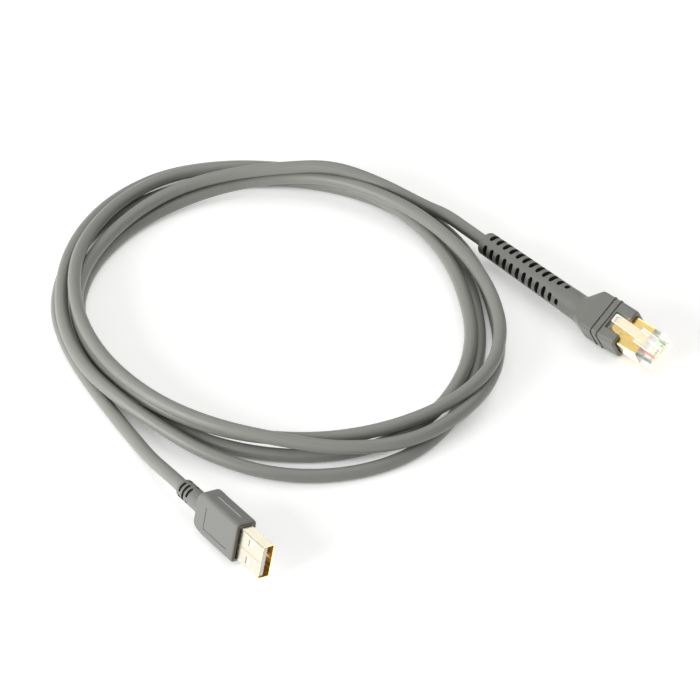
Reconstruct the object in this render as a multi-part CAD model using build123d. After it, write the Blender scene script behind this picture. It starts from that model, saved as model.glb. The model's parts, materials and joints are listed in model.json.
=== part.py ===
"""Interface cable of a handheld barcode scanner: a modular plug with a latch on one end,
a USB type A plug on the other, and a loose coil of round cable between them.

Millimetres, +Z up, lying on a table at Z = 0. The modular plug points along +X.
Each plug is modelled in its own frame (tip at the origin, mating direction +X, its top
face towards +Z) and is then laid on the table by resting."""
from build123d import *

import os
from math import cos, pi, radians, sin, sqrt, tan

os.makedirs("parts", exist_ok=True)

# ---------------------------------------------------------------- cable
CABLE_D = 4.7                # jacket
WIRE_D = 1.0                 # insulated conductor
DRAIN_D = 0.6                # bare drain wire
WIRE_GAP = 0.1               # between neighbouring conductors in the jacket
WIRE_STRAIGHT = 0.8          # each conductor leaves the jacket straight
DRAIN_OFFSET = 1.7           # drain wire off the cable's middle
FIT = 0.05                   # gap between pieces that are moulded or pushed together
RUNNING = 0.2                # gap under the latch's living hinge

# ---------------------------------------------------------------- how the two plugs lie
MODULAR_TIP = (43.8, 81.2)
MODULAR_ROLL = 28.8
RELIEF_BEND = 3.7            # the long strain relief turns this much off the boot's axis
USB_TIP = (24.1, -85.8)
USB_HEADING = -7.3
USB_TILT = 2.8
USB_ROLL = 75.0

# ---------------------------------------------------------------- modular plug housing
PLUG_LENGTH = 21.5
PLUG_WIDTH = 11.68
PLUG_HEIGHT = 6.6
HOUSING_CORNER = 0.4
CONTACTS = 10
CONTACT_PITCH = 1.02
CHANNEL_Z = -0.2             # height of the row of wires
CHANNEL_END = 1.2            # wall between the wires' ends and the plug's nose
CHANNEL_LENGTH = 8.3
FUNNEL_WIDTH = 10.6
FUNNEL_HEIGHT = 4.2
MODULAR_CHANNELS = ("black", "", "red", "", "", "", "white", "", "green", "")
MODULAR_BUNDLE = ("green", "red", "black", "white")    # quarters of the round cable
BLADE_T = 0.35
BLADE_LENGTH = 5.4
BLADE_RECESS = 0.25          # blades lie this far inside the housing's faces
BLADE_SLOT_T = 0.5
BLADE_SLOT_LENGTH = 6.2
WIRE_FAN_GAP = 3.5           # the wires are spread this far inside the housing's back
GUIDE_LENGTH = 5.0
GUIDE_HEIGHT = 2.8

# ---------------------------------------------------------------- latch
LATCH_WIDTH = 6.02
TAB_WIDTH = 3.25
LATCH_T = 1.0
KNUCKLE_X = 1.75             # hinge line, behind the nose
SHOULDER_X = 7.6             # where the wide leg stops and locks
SHOULDER_RISE = 4.0          # top of the leg there, above the housing
TAB_END_X = 17.8
TAB_RISE = 6.5               # top of the tab's free end, above the housing

# ---------------------------------------------------------------- shield and crimp
SHIELD_FRONT = 5.6
SHIELD_SETBACK = 1.3         # bare housing behind the sleeve
SHIELD_T = 0.2
INNER_MOULD_LENGTH = 5.4
FERRULE_LENGTH = 5.0
FERRULE_T = 0.6

# ---------------------------------------------------------------- modular boot
BOOT_FRONT = 14.2
BOOT_WIDTH = 15.4
BOOT_HEIGHT = 11.4
BOOT_CORNER = 1.4
BOOT_BODY_LENGTH = 15.5
SHOULDER_LENGTH = 5.6
NOTCH_WIDTH = 6.9
NOTCH_LENGTH = 6.4
TONGUE_WIDTH = 5.6           # round-ended tongue of the shield in the notch
TONGUE_END_GAP = 0.6
MOUTH_GAP = 0.45
MOUTH_DEPTH = 1.6
RIB_POSITIONS = (21.6, 24.3)
RIB_LENGTH = 0.7
RIB_PROUD = 0.3
GROOVE_LENGTH = 0.45
GROOVE_DEPTH = 0.35

# ---------------------------------------------------------------- long strain relief
RELIEF_LENGTH = 50.8
RELIEF_TIP_R = 4.05
RELIEF_ROOT_R = 4.8
RELIEF_LIP = 1.1
SLOT_COUNT = 12
SLOT_ROWS = 4
SLOT_PITCH = 3.38
SLOT_START = 4.1
SLOT_WIDTH = 1.4
SLOT_ANGLE = 76.0            # degrees round the relief
SHORT_SLOT_ANGLES = (62.0, 50.0)   # the last slots before the neck are shorter
SLOT_FLOOR = 0.25            # skin left over the cable

# ---------------------------------------------------------------- USB plug
SHELL_WIDTH = 12.0
SHELL_HEIGHT = 4.5
SHELL_T = 0.3
SHELL_CORNER = 0.6
SHELL_EXPOSED = 11.2
SHELL_LENGTH = 17.5
SEAM = 0.08
WINDOW_FRONT = 5.16
WINDOW_LENGTH = 1.95
WINDOW_WIDTH = 2.5
WINDOW_SPACING = 6.4
TONGUE_T = 1.84
TONGUE_SETBACK = 0.4
INSULATOR_FACE = 11.75
USB_CONTACT_Y = (-3.5, -1.0, 1.0, 3.5)
USB_CONTACT_START = (1.2, 2.2, 2.2, 1.2)     # the outer two touch first
USB_CONTACT_WIDTH = 1.0
USB_CONTACT_T = 0.25
USB_WIRE_ORDER = ("black", "green", "white", "red")
USB_BUNDLE = ("red", "black", "green", "white")
USB_WIRE_LEVEL = 1.2         # wires run level this far behind the tails
SOLDER_TAIL = 2.2
SOLDER_R = 0.62
CAN_FRONT = 13.0
CAN_LENGTH = 13.0
CAN_T = 0.3
CRIMP_LENGTH = 5.0
CRIMP_T = 0.4
USB_DRAIN_STRAIGHT = 0.5
USB_DRAIN_DROP = 1.0
USB_DRAIN_FLAT = 2.5

# ---------------------------------------------------------------- USB boot and relief
USB_BOOT_LENGTH = 23.3
USB_BOOT_WIDTH = 14.5
USB_BOOT_HEIGHT = 8.5
USB_BOOT_EDGE = 0.95
USB_BOOT_CHAMFER = 3.4       # the two back corners, in plan
USB_PLAN_RADIUS = 2.04
PANEL_WIDTH = 8.2
PANEL_LENGTH = 13.6
PANEL_SETBACK = 3.6
PANEL_DEPTH = 0.2
USB_RELIEF_LENGTH = 11.7
USB_RELIEF_R = 3.2
USB_RELIEF_LIP = 0.9
USB_RELIEF_ROOT = 1.0        # the relief starts this far inside the boot
USB_SLOT_START = 2.0
USB_SLOT_PITCH = 1.95
USB_SLOT_WIDTH = 0.85
USB_SLOT_FLOOR = 0.125
USB_SLOT_COUNTS = (4, 2, 4)                  # slots in each ring
USB_SLOT_TURNS = (40.0, 8.0, 40.0)           # where a ring's first slot lies
USB_SLOT_ANGLES = (68.0, 124.0, 68.0)        # how far round a slot goes

# ---------------------------------------------------------------- coil
COIL_CENTRE = (-71.1, 9.3)
COIL_SPOKE_START = 75.6      # heading of the first spoke; the others follow evenly
COIL_OUTER = (75.0, 80.0, 85.5, 91.5, 89.0, 81.5, 78.0, 78.0, 88.0, 92.0, 88.5, 77.5)
COIL_INNER = (63.5, 65.0, 67.5, 68.0, 67.5, 67.0, 65.0, 67.0, 69.0, 75.0, 71.0, 65.0)
COIL_HEIGHT = 14.2
COIL_EDGE = 2.0

# ---------------------------------------------------------------- cord routes
LEAD_STRAIGHT = 8.0          # each lead leaves its relief in line with it
MODULAR_LEAD_POINTS = ((-62.7, 85.2, 8.8),)
USB_LEAD_POINTS = ((-42.7, -76.0, 3.6), (-54.5, -72.3, 2.4), (-66.7, -69.6, 2.4),
                   (-77.2, -67.4, 2.4), (-86.7, -64.7, 2.4))


def block(x, y, z):
    """A box between the low and high values of x, y and z."""
    size = (x[1] - x[0], y[1] - y[0], z[1] - z[0])
    return Pos((x[0] + x[1]) / 2, (y[0] + y[1]) / 2, (z[0] + z[1]) / 2) * Box(*size)


def bar(x, width, height):
    """A box on the plug's axis."""
    return block(x, (-width / 2, width / 2), (-height / 2, height / 2))


def rounded_bar(x, width, height, corner):
    """A bar with rounded long edges."""
    profile = Plane.YZ.offset(x[0]) * RectangleRounded(width, height, corner)
    return extrude(profile, x[1] - x[0])


def rod(x, radius, y=0.0, z=0.0):
    """A cylinder along the plug's axis."""
    return Pos((x[0] + x[1]) / 2, y, z) * Rot(0, 90, 0) * Cylinder(radius, x[1] - x[0])


def taper(x, radius_back, radius_front):
    """A cone along the plug's axis, from its back end to its front end."""
    length = x[1] - x[0]
    return Pos((x[0] + x[1]) / 2, 0, 0) * Rot(0, 90, 0) * Cone(radius_back, radius_front, length)


def side_plate(points, width):
    """A plate with a side view in X and Z, centred on Y = 0."""
    face = make_face(Plane.XZ * Polyline(*points, close=True))
    return extrude(face, width / 2, both=True)


def plan_plate(points, height):
    """A plate with a plan view in X and Y, centred on Z = 0."""
    return extrude(make_face(Polyline(*points, close=True)), height / 2, both=True)


def tube_along(points, diameter, radii=None):
    """A round rod along straight runs that are joined by tangent arcs."""
    line = FilletPolyline(*points, radius=radii) if radii else Polyline(*points)
    profile = Plane(line @ 0, z_dir=line % 0) * Circle(diameter / 2)
    return sweep(profile, path=line)


def arc_radii(points):
    """The largest arc that each corner's two runs allow, by the 0.45 rule."""
    radii = []
    for before, corner, after in zip(points, points[1:], points[2:]):
        first = Vector(*corner) - Vector(*before)
        second = Vector(*after) - Vector(*corner)
        turn = radians(first.get_angle(second))
        radii.append(0.45 * min(first.length, second.length) / tan(turn / 2))
    return radii


def ring_slots(x, width, outer, inner, count, first_angle, span):
    """Slots cut round a relief, as sectors of a ring; angle 0 is the top."""
    ring = rod((x - width / 2, x + width / 2), outer) - rod((x - width, x + width), inner)
    half = radians(span / 2)
    reach = 2 * outer
    tip = (0, 0)
    left = (-reach * sin(half), reach * cos(half))
    right = (reach * sin(half), reach * cos(half))
    sector = make_face(Plane.YZ.offset(x) * Polyline(tip, left, right, close=True))
    wedge = extrude(sector, width, both=True)
    slots = []
    for index in range(count):
        slots.append(ring & (Rot(first_angle + index * 360 / count, 0, 0) * wedge))
    return slots


def save(shape, name):
    """Write one node."""
    export_step(shape, f"parts/{name}.step")


# ================================================================ modular plug, own frame
plug_top = PLUG_HEIGHT / 2
contact_y = [(index - (CONTACTS - 1) / 2) * CONTACT_PITCH for index in range(CONTACTS)]
channel_d = WIRE_D + 2 * FIT
channel_x = (-CHANNEL_END - CHANNEL_LENGTH, -CHANNEL_END)
channel_row = (contact_y[0] - channel_d / 2, contact_y[-1] + channel_d / 2)
blade_top = CHANNEL_Z - channel_d / 2


def modular_housing():
    """The clear body: a funnel from the back, the wires' channels and the blades' slots."""
    body = rounded_bar((-PLUG_LENGTH, 0), PLUG_WIDTH, PLUG_HEIGHT, HOUSING_CORNER)
    body -= bar((-PLUG_LENGTH, channel_x[0]), FUNNEL_WIDTH, FUNNEL_HEIGHT)
    channel_z = (CHANNEL_Z - channel_d / 2, CHANNEL_Z + channel_d / 2)
    body -= block(channel_x, channel_row, channel_z)
    for y in contact_y:
        slot_y = (y - BLADE_SLOT_T / 2, y + BLADE_SLOT_T / 2)
        body -= block((-BLADE_SLOT_LENGTH, 0), slot_y, (-plug_top, channel_z[0]))
    return body


def contact_blades():
    """Ten flat blades, each under its own wire."""
    blades = []
    back = -BLADE_RECESS - BLADE_LENGTH
    low = -plug_top + BLADE_RECESS
    for y in contact_y:
        blade_y = (y - BLADE_T / 2, y + BLADE_T / 2)
        blades.append(block((back, -BLADE_RECESS), blade_y, (low, blade_top)))
    return Compound(children=blades)


def wire_guide():
    """The comb that holds the wires in line in the funnel."""
    x = (channel_x[0] - FIT - GUIDE_LENGTH, channel_x[0] - FIT)
    height = (CHANNEL_Z - GUIDE_HEIGHT / 2, CHANNEL_Z + GUIDE_HEIGHT / 2)
    width = FUNNEL_WIDTH / 2 - FIT
    guide = block(x, (-width, width), height)
    channel_z = (CHANNEL_Z - channel_d / 2, CHANNEL_Z + channel_d / 2)
    return guide - block(x, channel_row, channel_z)


def modular_latch():
    """A wide leg from the hinge at the nose to the locking shoulder, then a narrow tab."""
    knuckle_r = LATCH_T / 2
    knuckle_z = plug_top + RUNNING + knuckle_r
    shoulder_z = plug_top + SHOULDER_RISE
    tab_z = plug_top + TAB_RISE
    leg = side_plate(((-KNUCKLE_X, knuckle_z - knuckle_r), (-SHOULDER_X, shoulder_z - LATCH_T),
                      (-SHOULDER_X, shoulder_z), (-KNUCKLE_X, knuckle_z + knuckle_r)), LATCH_WIDTH)
    knuckle = Pos(-KNUCKLE_X, 0, knuckle_z) * Rot(90, 0, 0) * Cylinder(knuckle_r, LATCH_WIDTH)
    middle_x = (KNUCKLE_X + SHOULDER_X) / 2
    middle_z = (knuckle_z + shoulder_z - knuckle_r) / 2
    tab = side_plate(((-middle_x, middle_z - knuckle_r), (-TAB_END_X, tab_z - LATCH_T),
                      (-TAB_END_X, tab_z), (-SHOULDER_X, shoulder_z)), TAB_WIDTH)
    return leg + knuckle + tab


shield_inner = (PLUG_WIDTH + 2 * FIT, PLUG_HEIGHT + 2 * FIT)
shield_outer = (shield_inner[0] + 2 * SHIELD_T, shield_inner[1] + 2 * SHIELD_T)
shield_x = (-PLUG_LENGTH + SHIELD_SETBACK, -SHIELD_FRONT)
notch_back = -BOOT_FRONT - NOTCH_LENGTH


def shield_sleeve():
    """A folded metal sleeve round the housing; its top ends in a round tongue in the notch."""
    sleeve = rounded_bar(shield_x, shield_outer[0], shield_outer[1], HOUSING_CORNER + SHIELD_T)
    sleeve -= rounded_bar(shield_x, shield_inner[0], shield_inner[1], HOUSING_CORNER)
    tongue_r = TONGUE_WIDTH / 2
    centre_x = notch_back + TONGUE_END_GAP + tongue_r
    opening = block((shield_x[0], centre_x), (-NOTCH_WIDTH / 2, NOTCH_WIDTH / 2), (0, PLUG_HEIGHT))
    return sleeve - (opening - Pos(centre_x, 0, PLUG_HEIGHT / 2) * Cylinder(tongue_r, PLUG_HEIGHT))


mould_x = (-PLUG_LENGTH - FIT - INNER_MOULD_LENGTH, -PLUG_LENGTH - FIT)
jacket_end_x = mould_x[0] - FIT
boot_back_x = -BOOT_FRONT - BOOT_BODY_LENGTH - SHOULDER_LENGTH
ferrule_x = (jacket_end_x - FERRULE_LENGTH, jacket_end_x)
jacket_r = CABLE_D / 2

# The jacket runs down the relief's middle, bends at the boot's back and ends at the mould.
relief_turn = Pos(boot_back_x, 0, 0) * Rot(-MODULAR_ROLL, 0, 0) * Rot(0, 0, -RELIEF_BEND)
relief_end = (relief_turn * Pos(-RELIEF_LENGTH, 0, 0)).position
modular_jacket_points = (tuple(relief_end), (boot_back_x, 0, 0), (jacket_end_x, 0, 0))
modular_jacket_radius = arc_radii(modular_jacket_points)


def modular_cable_end():
    """The cable's jacket inside the strain relief and the ferrule."""
    return tube_along(modular_jacket_points, CABLE_D, modular_jacket_radius)


def crimp_ferrule():
    """The ring crimped on the jacket's end."""
    ring = rod(ferrule_x, jacket_r + FIT + FERRULE_T)
    return ring - rod(ferrule_x, jacket_r + FIT)


def relief_radius(distance):
    """The relief's radius at a distance from its cable end."""
    return RELIEF_TIP_R + (RELIEF_ROOT_R - RELIEF_TIP_R) * distance / RELIEF_LENGTH


def long_relief():
    """The slotted relief in its own frame: cable end at -RELIEF_LENGTH, root at 0."""
    body = taper((-RELIEF_LENGTH, 0), RELIEF_TIP_R, RELIEF_ROOT_R)
    body = fillet(body.edges().sort_by(Axis.X)[0], RELIEF_LIP)
    slot_floor_r = jacket_r + FIT + SLOT_FLOOR
    for index in range(SLOT_COUNT):
        distance = SLOT_START + index * SLOT_PITCH
        short = index - (SLOT_COUNT - len(SHORT_SLOT_ANGLES))
        angle = SHORT_SLOT_ANGLES[short] if short >= 0 else SLOT_ANGLE
        x = distance - RELIEF_LENGTH
        outer = relief_radius(distance) + 1
        body -= ring_slots(x, SLOT_WIDTH, outer, slot_floor_r, SLOT_ROWS, 45, angle)
    return body


def modular_boot():
    """The boot without its relief: hexagonal plan, two ribs, and a notch for the latch."""
    half_w = BOOT_WIDTH / 2
    half_h = BOOT_HEIGHT / 2
    shoulder_x = -BOOT_FRONT - BOOT_BODY_LENGTH
    x = (boot_back_x, -BOOT_FRONT)
    body = rounded_bar(x, BOOT_WIDTH, BOOT_HEIGHT, BOOT_CORNER)
    for rib in RIB_POSITIONS:
        wide = BOOT_WIDTH + 2 * RIB_PROUD
        high = BOOT_HEIGHT + 2 * RIB_PROUD
        body += rounded_bar((-rib - RIB_LENGTH, -rib), wide, high, BOOT_CORNER + RIB_PROUD)
        groove_x = (-rib, -rib + GROOVE_LENGTH)
        ring = rounded_bar(groove_x, wide, high, BOOT_CORNER + RIB_PROUD)
        narrow = BOOT_WIDTH - 2 * GROOVE_DEPTH
        low = BOOT_HEIGHT - 2 * GROOVE_DEPTH
        body -= ring - rounded_bar(groove_x, narrow, low, BOOT_CORNER - GROOVE_DEPTH)
    wide = half_w + RIB_PROUD
    high = half_h + RIB_PROUD
    root = RELIEF_ROOT_R
    body &= plan_plate(((-BOOT_FRONT, wide), (shoulder_x, wide), (shoulder_x, half_w),
                        (boot_back_x, root), (boot_back_x, -root), (shoulder_x, -half_w),
                        (shoulder_x, -wide), (-BOOT_FRONT, -wide)), 2 * high)
    body &= side_plate(((-BOOT_FRONT, high), (shoulder_x, high), (shoulder_x, half_h),
                        (boot_back_x, root), (boot_back_x, -root), (shoulder_x, -half_h),
                        (shoulder_x, -high), (-BOOT_FRONT, -high)), 2 * wide)
    return body


def modular_overmould():
    """Boot and long strain relief in one moulding, hollow for what it is moulded over."""
    body = modular_boot() + relief_turn * Rot(MODULAR_ROLL, 0, 0) * long_relief()
    room = (shield_outer[0] + 2 * FIT, shield_outer[1] + 2 * FIT)
    body -= bar((mould_x[0] - FIT, -BOOT_FRONT), *room)
    mouth = (shield_outer[0] + 2 * MOUTH_GAP, shield_outer[1] + 2 * MOUTH_GAP)
    body -= bar((-BOOT_FRONT - MOUTH_DEPTH, -BOOT_FRONT), *mouth)
    body -= rod((ferrule_x[0] - FIT, ferrule_x[1]), jacket_r + 2 * FIT + FERRULE_T)
    body -= tube_along(modular_jacket_points, CABLE_D + 2 * FIT, modular_jacket_radius)
    notch_y = (-NOTCH_WIDTH / 2, NOTCH_WIDTH / 2)
    return body - block((notch_back, -BOOT_FRONT), notch_y, (0, BOOT_HEIGHT))


def bundle(colours, colour):
    """Where a conductor lies in the round cable, one in each quarter."""
    heading = radians(45 + 90 * colours.index(colour))
    reach = (WIRE_D + WIRE_GAP) / sqrt(2)
    return reach * cos(heading), reach * sin(heading)


def modular_wire(colour):
    """One conductor from the jacket's end to its channel over a blade."""
    y0, z0 = bundle(MODULAR_BUNDLE, colour)
    y1 = contact_y[MODULAR_CHANNELS.index(colour)]
    points = ((jacket_end_x, y0, z0), (jacket_end_x + WIRE_STRAIGHT, y0, z0),
              (-PLUG_LENGTH + WIRE_FAN_GAP, y1, CHANNEL_Z), (channel_x[1] - FIT, y1, CHANNEL_Z))
    return tube_along(points, WIRE_D)


def modular_drain():
    """The bare drain wire from the jacket's end to the shield's inside."""
    z1 = shield_inner[1] / 2 - FIT - DRAIN_D / 2
    points = ((jacket_end_x, 0, DRAIN_OFFSET), (jacket_end_x + WIRE_STRAIGHT, 0, DRAIN_OFFSET),
              (mould_x[1] - WIRE_STRAIGHT, 0, z1), (mould_x[1], 0, z1))
    return tube_along(points, DRAIN_D)


modular_wires = {colour: modular_wire(colour) for colour in MODULAR_BUNDLE}


def modular_inner_mould():
    """The block moulded round the wires behind the housing."""
    body = bar(mould_x, shield_outer[0], shield_outer[1])
    for wire in modular_wires.values():
        body -= wire
    return body - modular_drain()


# ================================================================ USB plug, own frame
shell_in = (SHELL_WIDTH - 2 * SHELL_T, SHELL_HEIGHT - 2 * SHELL_T)
shell_top = shell_in[1] / 2
shell_back = -SHELL_LENGTH
usb_boot_x = (-SHELL_EXPOSED - USB_BOOT_LENGTH, -SHELL_EXPOSED)
usb_relief_x = (usb_boot_x[0] - USB_RELIEF_LENGTH, usb_boot_x[0])
can_in = (SHELL_WIDTH + 2 * FIT, SHELL_HEIGHT + 2 * FIT)
can_out = (can_in[0] + 2 * CAN_T, can_in[1] + 2 * CAN_T)
can_x = (-CAN_FRONT - CAN_LENGTH, -CAN_FRONT)
usb_jacket_end = can_x[0] + CAN_T
crimp_r = jacket_r + FIT
crimp_back = can_x[0] - CRIMP_LENGTH


def usb_shell():
    """The mating shell: a folded sleeve with a seam and two windows in each wide face."""
    body = rounded_bar((shell_back, 0), SHELL_WIDTH, SHELL_HEIGHT, SHELL_CORNER)
    body -= rounded_bar((shell_back, 0), *shell_in, SHELL_CORNER - SHELL_T)
    window_x = (-WINDOW_FRONT - WINDOW_LENGTH, -WINDOW_FRONT)
    for side in (-1, 1):
        y = side * WINDOW_SPACING / 2
        window_y = (y - WINDOW_WIDTH / 2, y + WINDOW_WIDTH / 2)
        body -= block(window_x, window_y, (-SHELL_HEIGHT, SHELL_HEIGHT))
    return body - block((shell_back, 0), (-SEAM / 2, SEAM / 2), (0, SHELL_HEIGHT))


contact_z = shell_top - FIT - TONGUE_T
tail_x = (shell_back - SOLDER_TAIL, shell_back)


def usb_contacts():
    """Four strips under the tongue that end in tails for the wires."""
    strips = []
    z = (contact_z - USB_CONTACT_T, contact_z)
    for y, start in zip(USB_CONTACT_Y, USB_CONTACT_START):
        y_range = (y - USB_CONTACT_WIDTH / 2, y + USB_CONTACT_WIDTH / 2)
        strips.append(block((tail_x[0], -start), y_range, z))
    return Compound(children=strips)


def usb_insulator():
    """The white block at the shell's back, with the tongue that carries the contacts."""
    half_w = shell_in[0] / 2 - FIT
    half_h = shell_in[1] / 2 - FIT
    corner = SHELL_CORNER - SHELL_T
    body = rounded_bar((shell_back, -INSULATOR_FACE), 2 * half_w, 2 * half_h, corner)
    tongue_w = half_w - corner
    tongue = block((-INSULATOR_FACE, -TONGUE_SETBACK), (-tongue_w, tongue_w), (contact_z, half_h))
    body += tongue
    for y in USB_CONTACT_Y:
        y_range = (y - USB_CONTACT_WIDTH / 2 - FIT, y + USB_CONTACT_WIDTH / 2 + FIT)
        z = (contact_z - USB_CONTACT_T - FIT, contact_z)
        body -= block((shell_back, -INSULATOR_FACE), y_range, z)
    return body


def usb_rear_can():
    """The tinned can over the shell's back, with the tube that is crimped on the cable."""
    body = bar(can_x, *can_out)
    body += rod((crimp_back, can_x[0]), crimp_r + CRIMP_T)
    body -= bar((can_x[0] + CAN_T, can_x[1]), *can_in)
    return body - rod((crimp_back, can_x[0] + CAN_T), crimp_r)


def usb_cable_end():
    """The cable's jacket inside the USB strain relief and the crimp tube."""
    return rod((usb_relief_x[0], usb_jacket_end), jacket_r)


solder_z = contact_z - USB_CONTACT_T - WIRE_D / 2 - FIT


def usb_wire(colour):
    """One conductor from the jacket's end to under its contact's tail."""
    y0, z0 = bundle(USB_BUNDLE, colour)
    y1 = USB_CONTACT_Y[USB_WIRE_ORDER.index(colour)]
    points = ((usb_jacket_end, y0, z0), (usb_jacket_end + WIRE_STRAIGHT, y0, z0),
              (tail_x[0] - USB_WIRE_LEVEL, y1, solder_z), (tail_x[0] + SOLDER_TAIL / 2, y1, solder_z))
    return tube_along(points, WIRE_D)


usb_wires = {colour: usb_wire(colour) for colour in USB_BUNDLE}


def usb_solder_joints():
    """A bead of solder on each tail, in front of its wire's end."""
    beads = []
    x = (tail_x[0] + SOLDER_TAIL / 2, shell_back - FIT)
    z = (solder_z - SOLDER_R / 2, contact_z - USB_CONTACT_T)
    for y in USB_CONTACT_Y:
        beads.append(block(x, (y - USB_CONTACT_WIDTH / 2, y + USB_CONTACT_WIDTH / 2), z))
    return Compound(children=beads)


def usb_drain():
    """The bare drain wire, folded to the can's inside."""
    z1 = -can_in[1] / 2 + DRAIN_D / 2 + FIT
    x1 = usb_jacket_end + USB_DRAIN_STRAIGHT
    x2 = x1 + USB_DRAIN_DROP
    points = ((usb_jacket_end, 0, -DRAIN_OFFSET), (x1, 0, -DRAIN_OFFSET),
              (x2, 0, z1), (x2 + USB_DRAIN_FLAT, 0, z1))
    return tube_along(points, DRAIN_D)


def usb_inner_mould():
    """The block moulded round the wires and joints inside the can."""
    x = (usb_jacket_end + FIT, shell_back - FIT)
    body = bar(x, can_in[0] - 2 * FIT, can_in[1] - 2 * FIT)
    for wire in usb_wires.values():
        body -= wire
    body -= usb_contacts()
    body -= usb_solder_joints()
    return body - usb_drain()


def usb_boot():
    """The boot without its relief: rounded all round, with a shallow panel on each face."""
    half_w = USB_BOOT_WIDTH / 2
    cut = USB_BOOT_CHAMFER
    back, front = usb_boot_x
    body = plan_plate(((front, half_w), (back + cut, half_w), (back, half_w - cut),
                       (back, cut - half_w), (back + cut, -half_w), (front, -half_w)), USB_BOOT_HEIGHT)
    body = fillet(body.edges().filter_by(Axis.Z).group_by(Axis.X)[0], USB_PLAN_RADIUS)
    body = fillet(body.faces().sort_by(Axis.Z)[-1].edges(), USB_BOOT_EDGE)
    body = fillet(body.faces().sort_by(Axis.Z)[0].edges(), USB_BOOT_EDGE)
    panel_x = (front - PANEL_SETBACK - PANEL_LENGTH, front - PANEL_SETBACK)
    panel_y = (-PANEL_WIDTH / 2, PANEL_WIDTH / 2)
    for side in (-1, 1):
        z = side * USB_BOOT_HEIGHT / 2
        body -= block(panel_x, panel_y, (z - PANEL_DEPTH, z + PANEL_DEPTH))
    return body


def usb_overmould():
    """USB boot and strain relief in one moulding, hollow for what it is moulded over."""
    relief = rod((usb_relief_x[0], usb_boot_x[0] + USB_RELIEF_ROOT), USB_RELIEF_R)
    relief = fillet(relief.edges().sort_by(Axis.X)[0], USB_RELIEF_LIP)
    slot_floor_r = jacket_r + FIT + USB_SLOT_FLOOR
    rings = zip(USB_SLOT_COUNTS, USB_SLOT_TURNS, USB_SLOT_ANGLES)
    for index, (count, turn, angle) in enumerate(rings):
        x = usb_relief_x[0] + USB_SLOT_START + index * USB_SLOT_PITCH
        relief -= ring_slots(x, USB_SLOT_WIDTH, USB_RELIEF_R + 1, slot_floor_r, count, turn, angle)
    body = usb_boot() + relief
    body -= bar((can_x[0] - FIT, usb_boot_x[1]), can_out[0] + 2 * FIT, can_out[1] + 2 * FIT)
    body -= rod((crimp_back - FIT, can_x[0]), crimp_r + CRIMP_T + FIT)
    return body - rod((usb_relief_x[0], can_x[0]), jacket_r + FIT)


# ================================================================ laid on the table
def resting(tip, turn, overmould):
    """Where a plug lies: its tip over its spot and its overmould down on the table."""
    low = (turn * overmould).bounding_box().min.Z
    return Pos(tip[0], tip[1], -low) * turn


modular_mould = modular_overmould()
usb_mould = usb_overmould()
usb_turn = Rot(0, 0, USB_HEADING) * Rot(0, -USB_TILT, 0) * Rot(USB_ROLL, 0, 0)
place_modular = resting(MODULAR_TIP, Rot(MODULAR_ROLL, 0, 0), modular_mould)
place_usb = resting(USB_TIP, usb_turn, usb_mould)

modular_nodes = {
    "modular_housing": modular_housing(),
    "modular_latch": modular_latch(),
    "contact_blades": contact_blades(),
    "wire_guide": wire_guide(),
    "shield_sleeve": shield_sleeve(),
    "modular_inner_mould": modular_inner_mould(),
    "crimp_ferrule": crimp_ferrule(),
    "modular_drain_wire": modular_drain(),
    "modular_cable_end": modular_cable_end(),
    "modular_overmould": modular_mould,
}
for colour, wire in modular_wires.items():
    modular_nodes[f"modular_wire_{colour}"] = wire

usb_nodes = {
    "usb_shell": usb_shell(),
    "usb_insulator": usb_insulator(),
    "usb_contacts": usb_contacts(),
    "usb_solder_joints": usb_solder_joints(),
    "usb_rear_can": usb_rear_can(),
    "usb_inner_mould": usb_inner_mould(),
    "usb_drain_wire": usb_drain(),
    "usb_cable_end": usb_cable_end(),
    "usb_overmould": usb_mould,
}
for colour, wire in usb_wires.items():
    usb_nodes[f"usb_wire_{colour}"] = wire

for name, shape in modular_nodes.items():
    save(place_modular * shape, name)
for name, shape in usb_nodes.items():
    save(place_usb * shape, name)


# ================================================================ cable
def coil_outline(reaches):
    """A closed smooth line through one point on each spoke."""
    points = []
    for index, reach in enumerate(reaches):
        heading = radians(COIL_SPOKE_START + index * 360 / len(reaches))
        points.append((COIL_CENTRE[0] + reach * cos(heading), COIL_CENTRE[1] + reach * sin(heading)))
    return make_face(Spline(*points, periodic=True))


def cable_coil():
    """The outer shape of the loose coil."""
    ring = coil_outline(COIL_OUTER) - coil_outline(COIL_INNER)
    body = extrude(ring, COIL_HEIGHT)
    return fillet(body.faces().sort_by(Axis.Z)[-1].edges(), COIL_EDGE)


def lead(place, exit_turn, exit_x, points):
    """A lead's route: straight out of a relief, then through the points, and its tube."""
    start = (place * exit_turn * Pos(exit_x, 0, 0)).position
    straight = (place * exit_turn * Pos(exit_x - LEAD_STRAIGHT, 0, 0)).position
    route = (tuple(start), tuple(straight), *points)
    radii = arc_radii(route)
    tube = tube_along(route, CABLE_D, radii)
    section_times_length = pi * (CABLE_D / 2) ** 2 * FilletPolyline(*route, radius=radii).length
    print("arc radii", [round(radius) for radius in radii])
    print("volume over section times length", round(tube.volume / section_times_length, 4))
    return tube


save(cable_coil(), "cable_coil")
save(lead(place_modular, relief_turn, -RELIEF_LENGTH, MODULAR_LEAD_POINTS), "modular_lead")
save(lead(place_usb, Location(), usb_relief_x[0], USB_LEAD_POINTS), "usb_lead")
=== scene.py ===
"""Looks of a handheld barcode scanner's interface cable, built round its CAD frame.

Each plug is modelled in its own frame in millimetres: tip at the origin, mating direction
+X, top face +Z. Its place then puts it in the row frame, in metres, where the CAD has it."""
import json
from math import atan2, cos, degrees, hypot, pi, radians, sin, sqrt

import bmesh
import bpy
from bpy.props import FloatProperty, FloatVectorProperty, IntProperty, PointerProperty
from mathutils import Matrix, Vector


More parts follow.
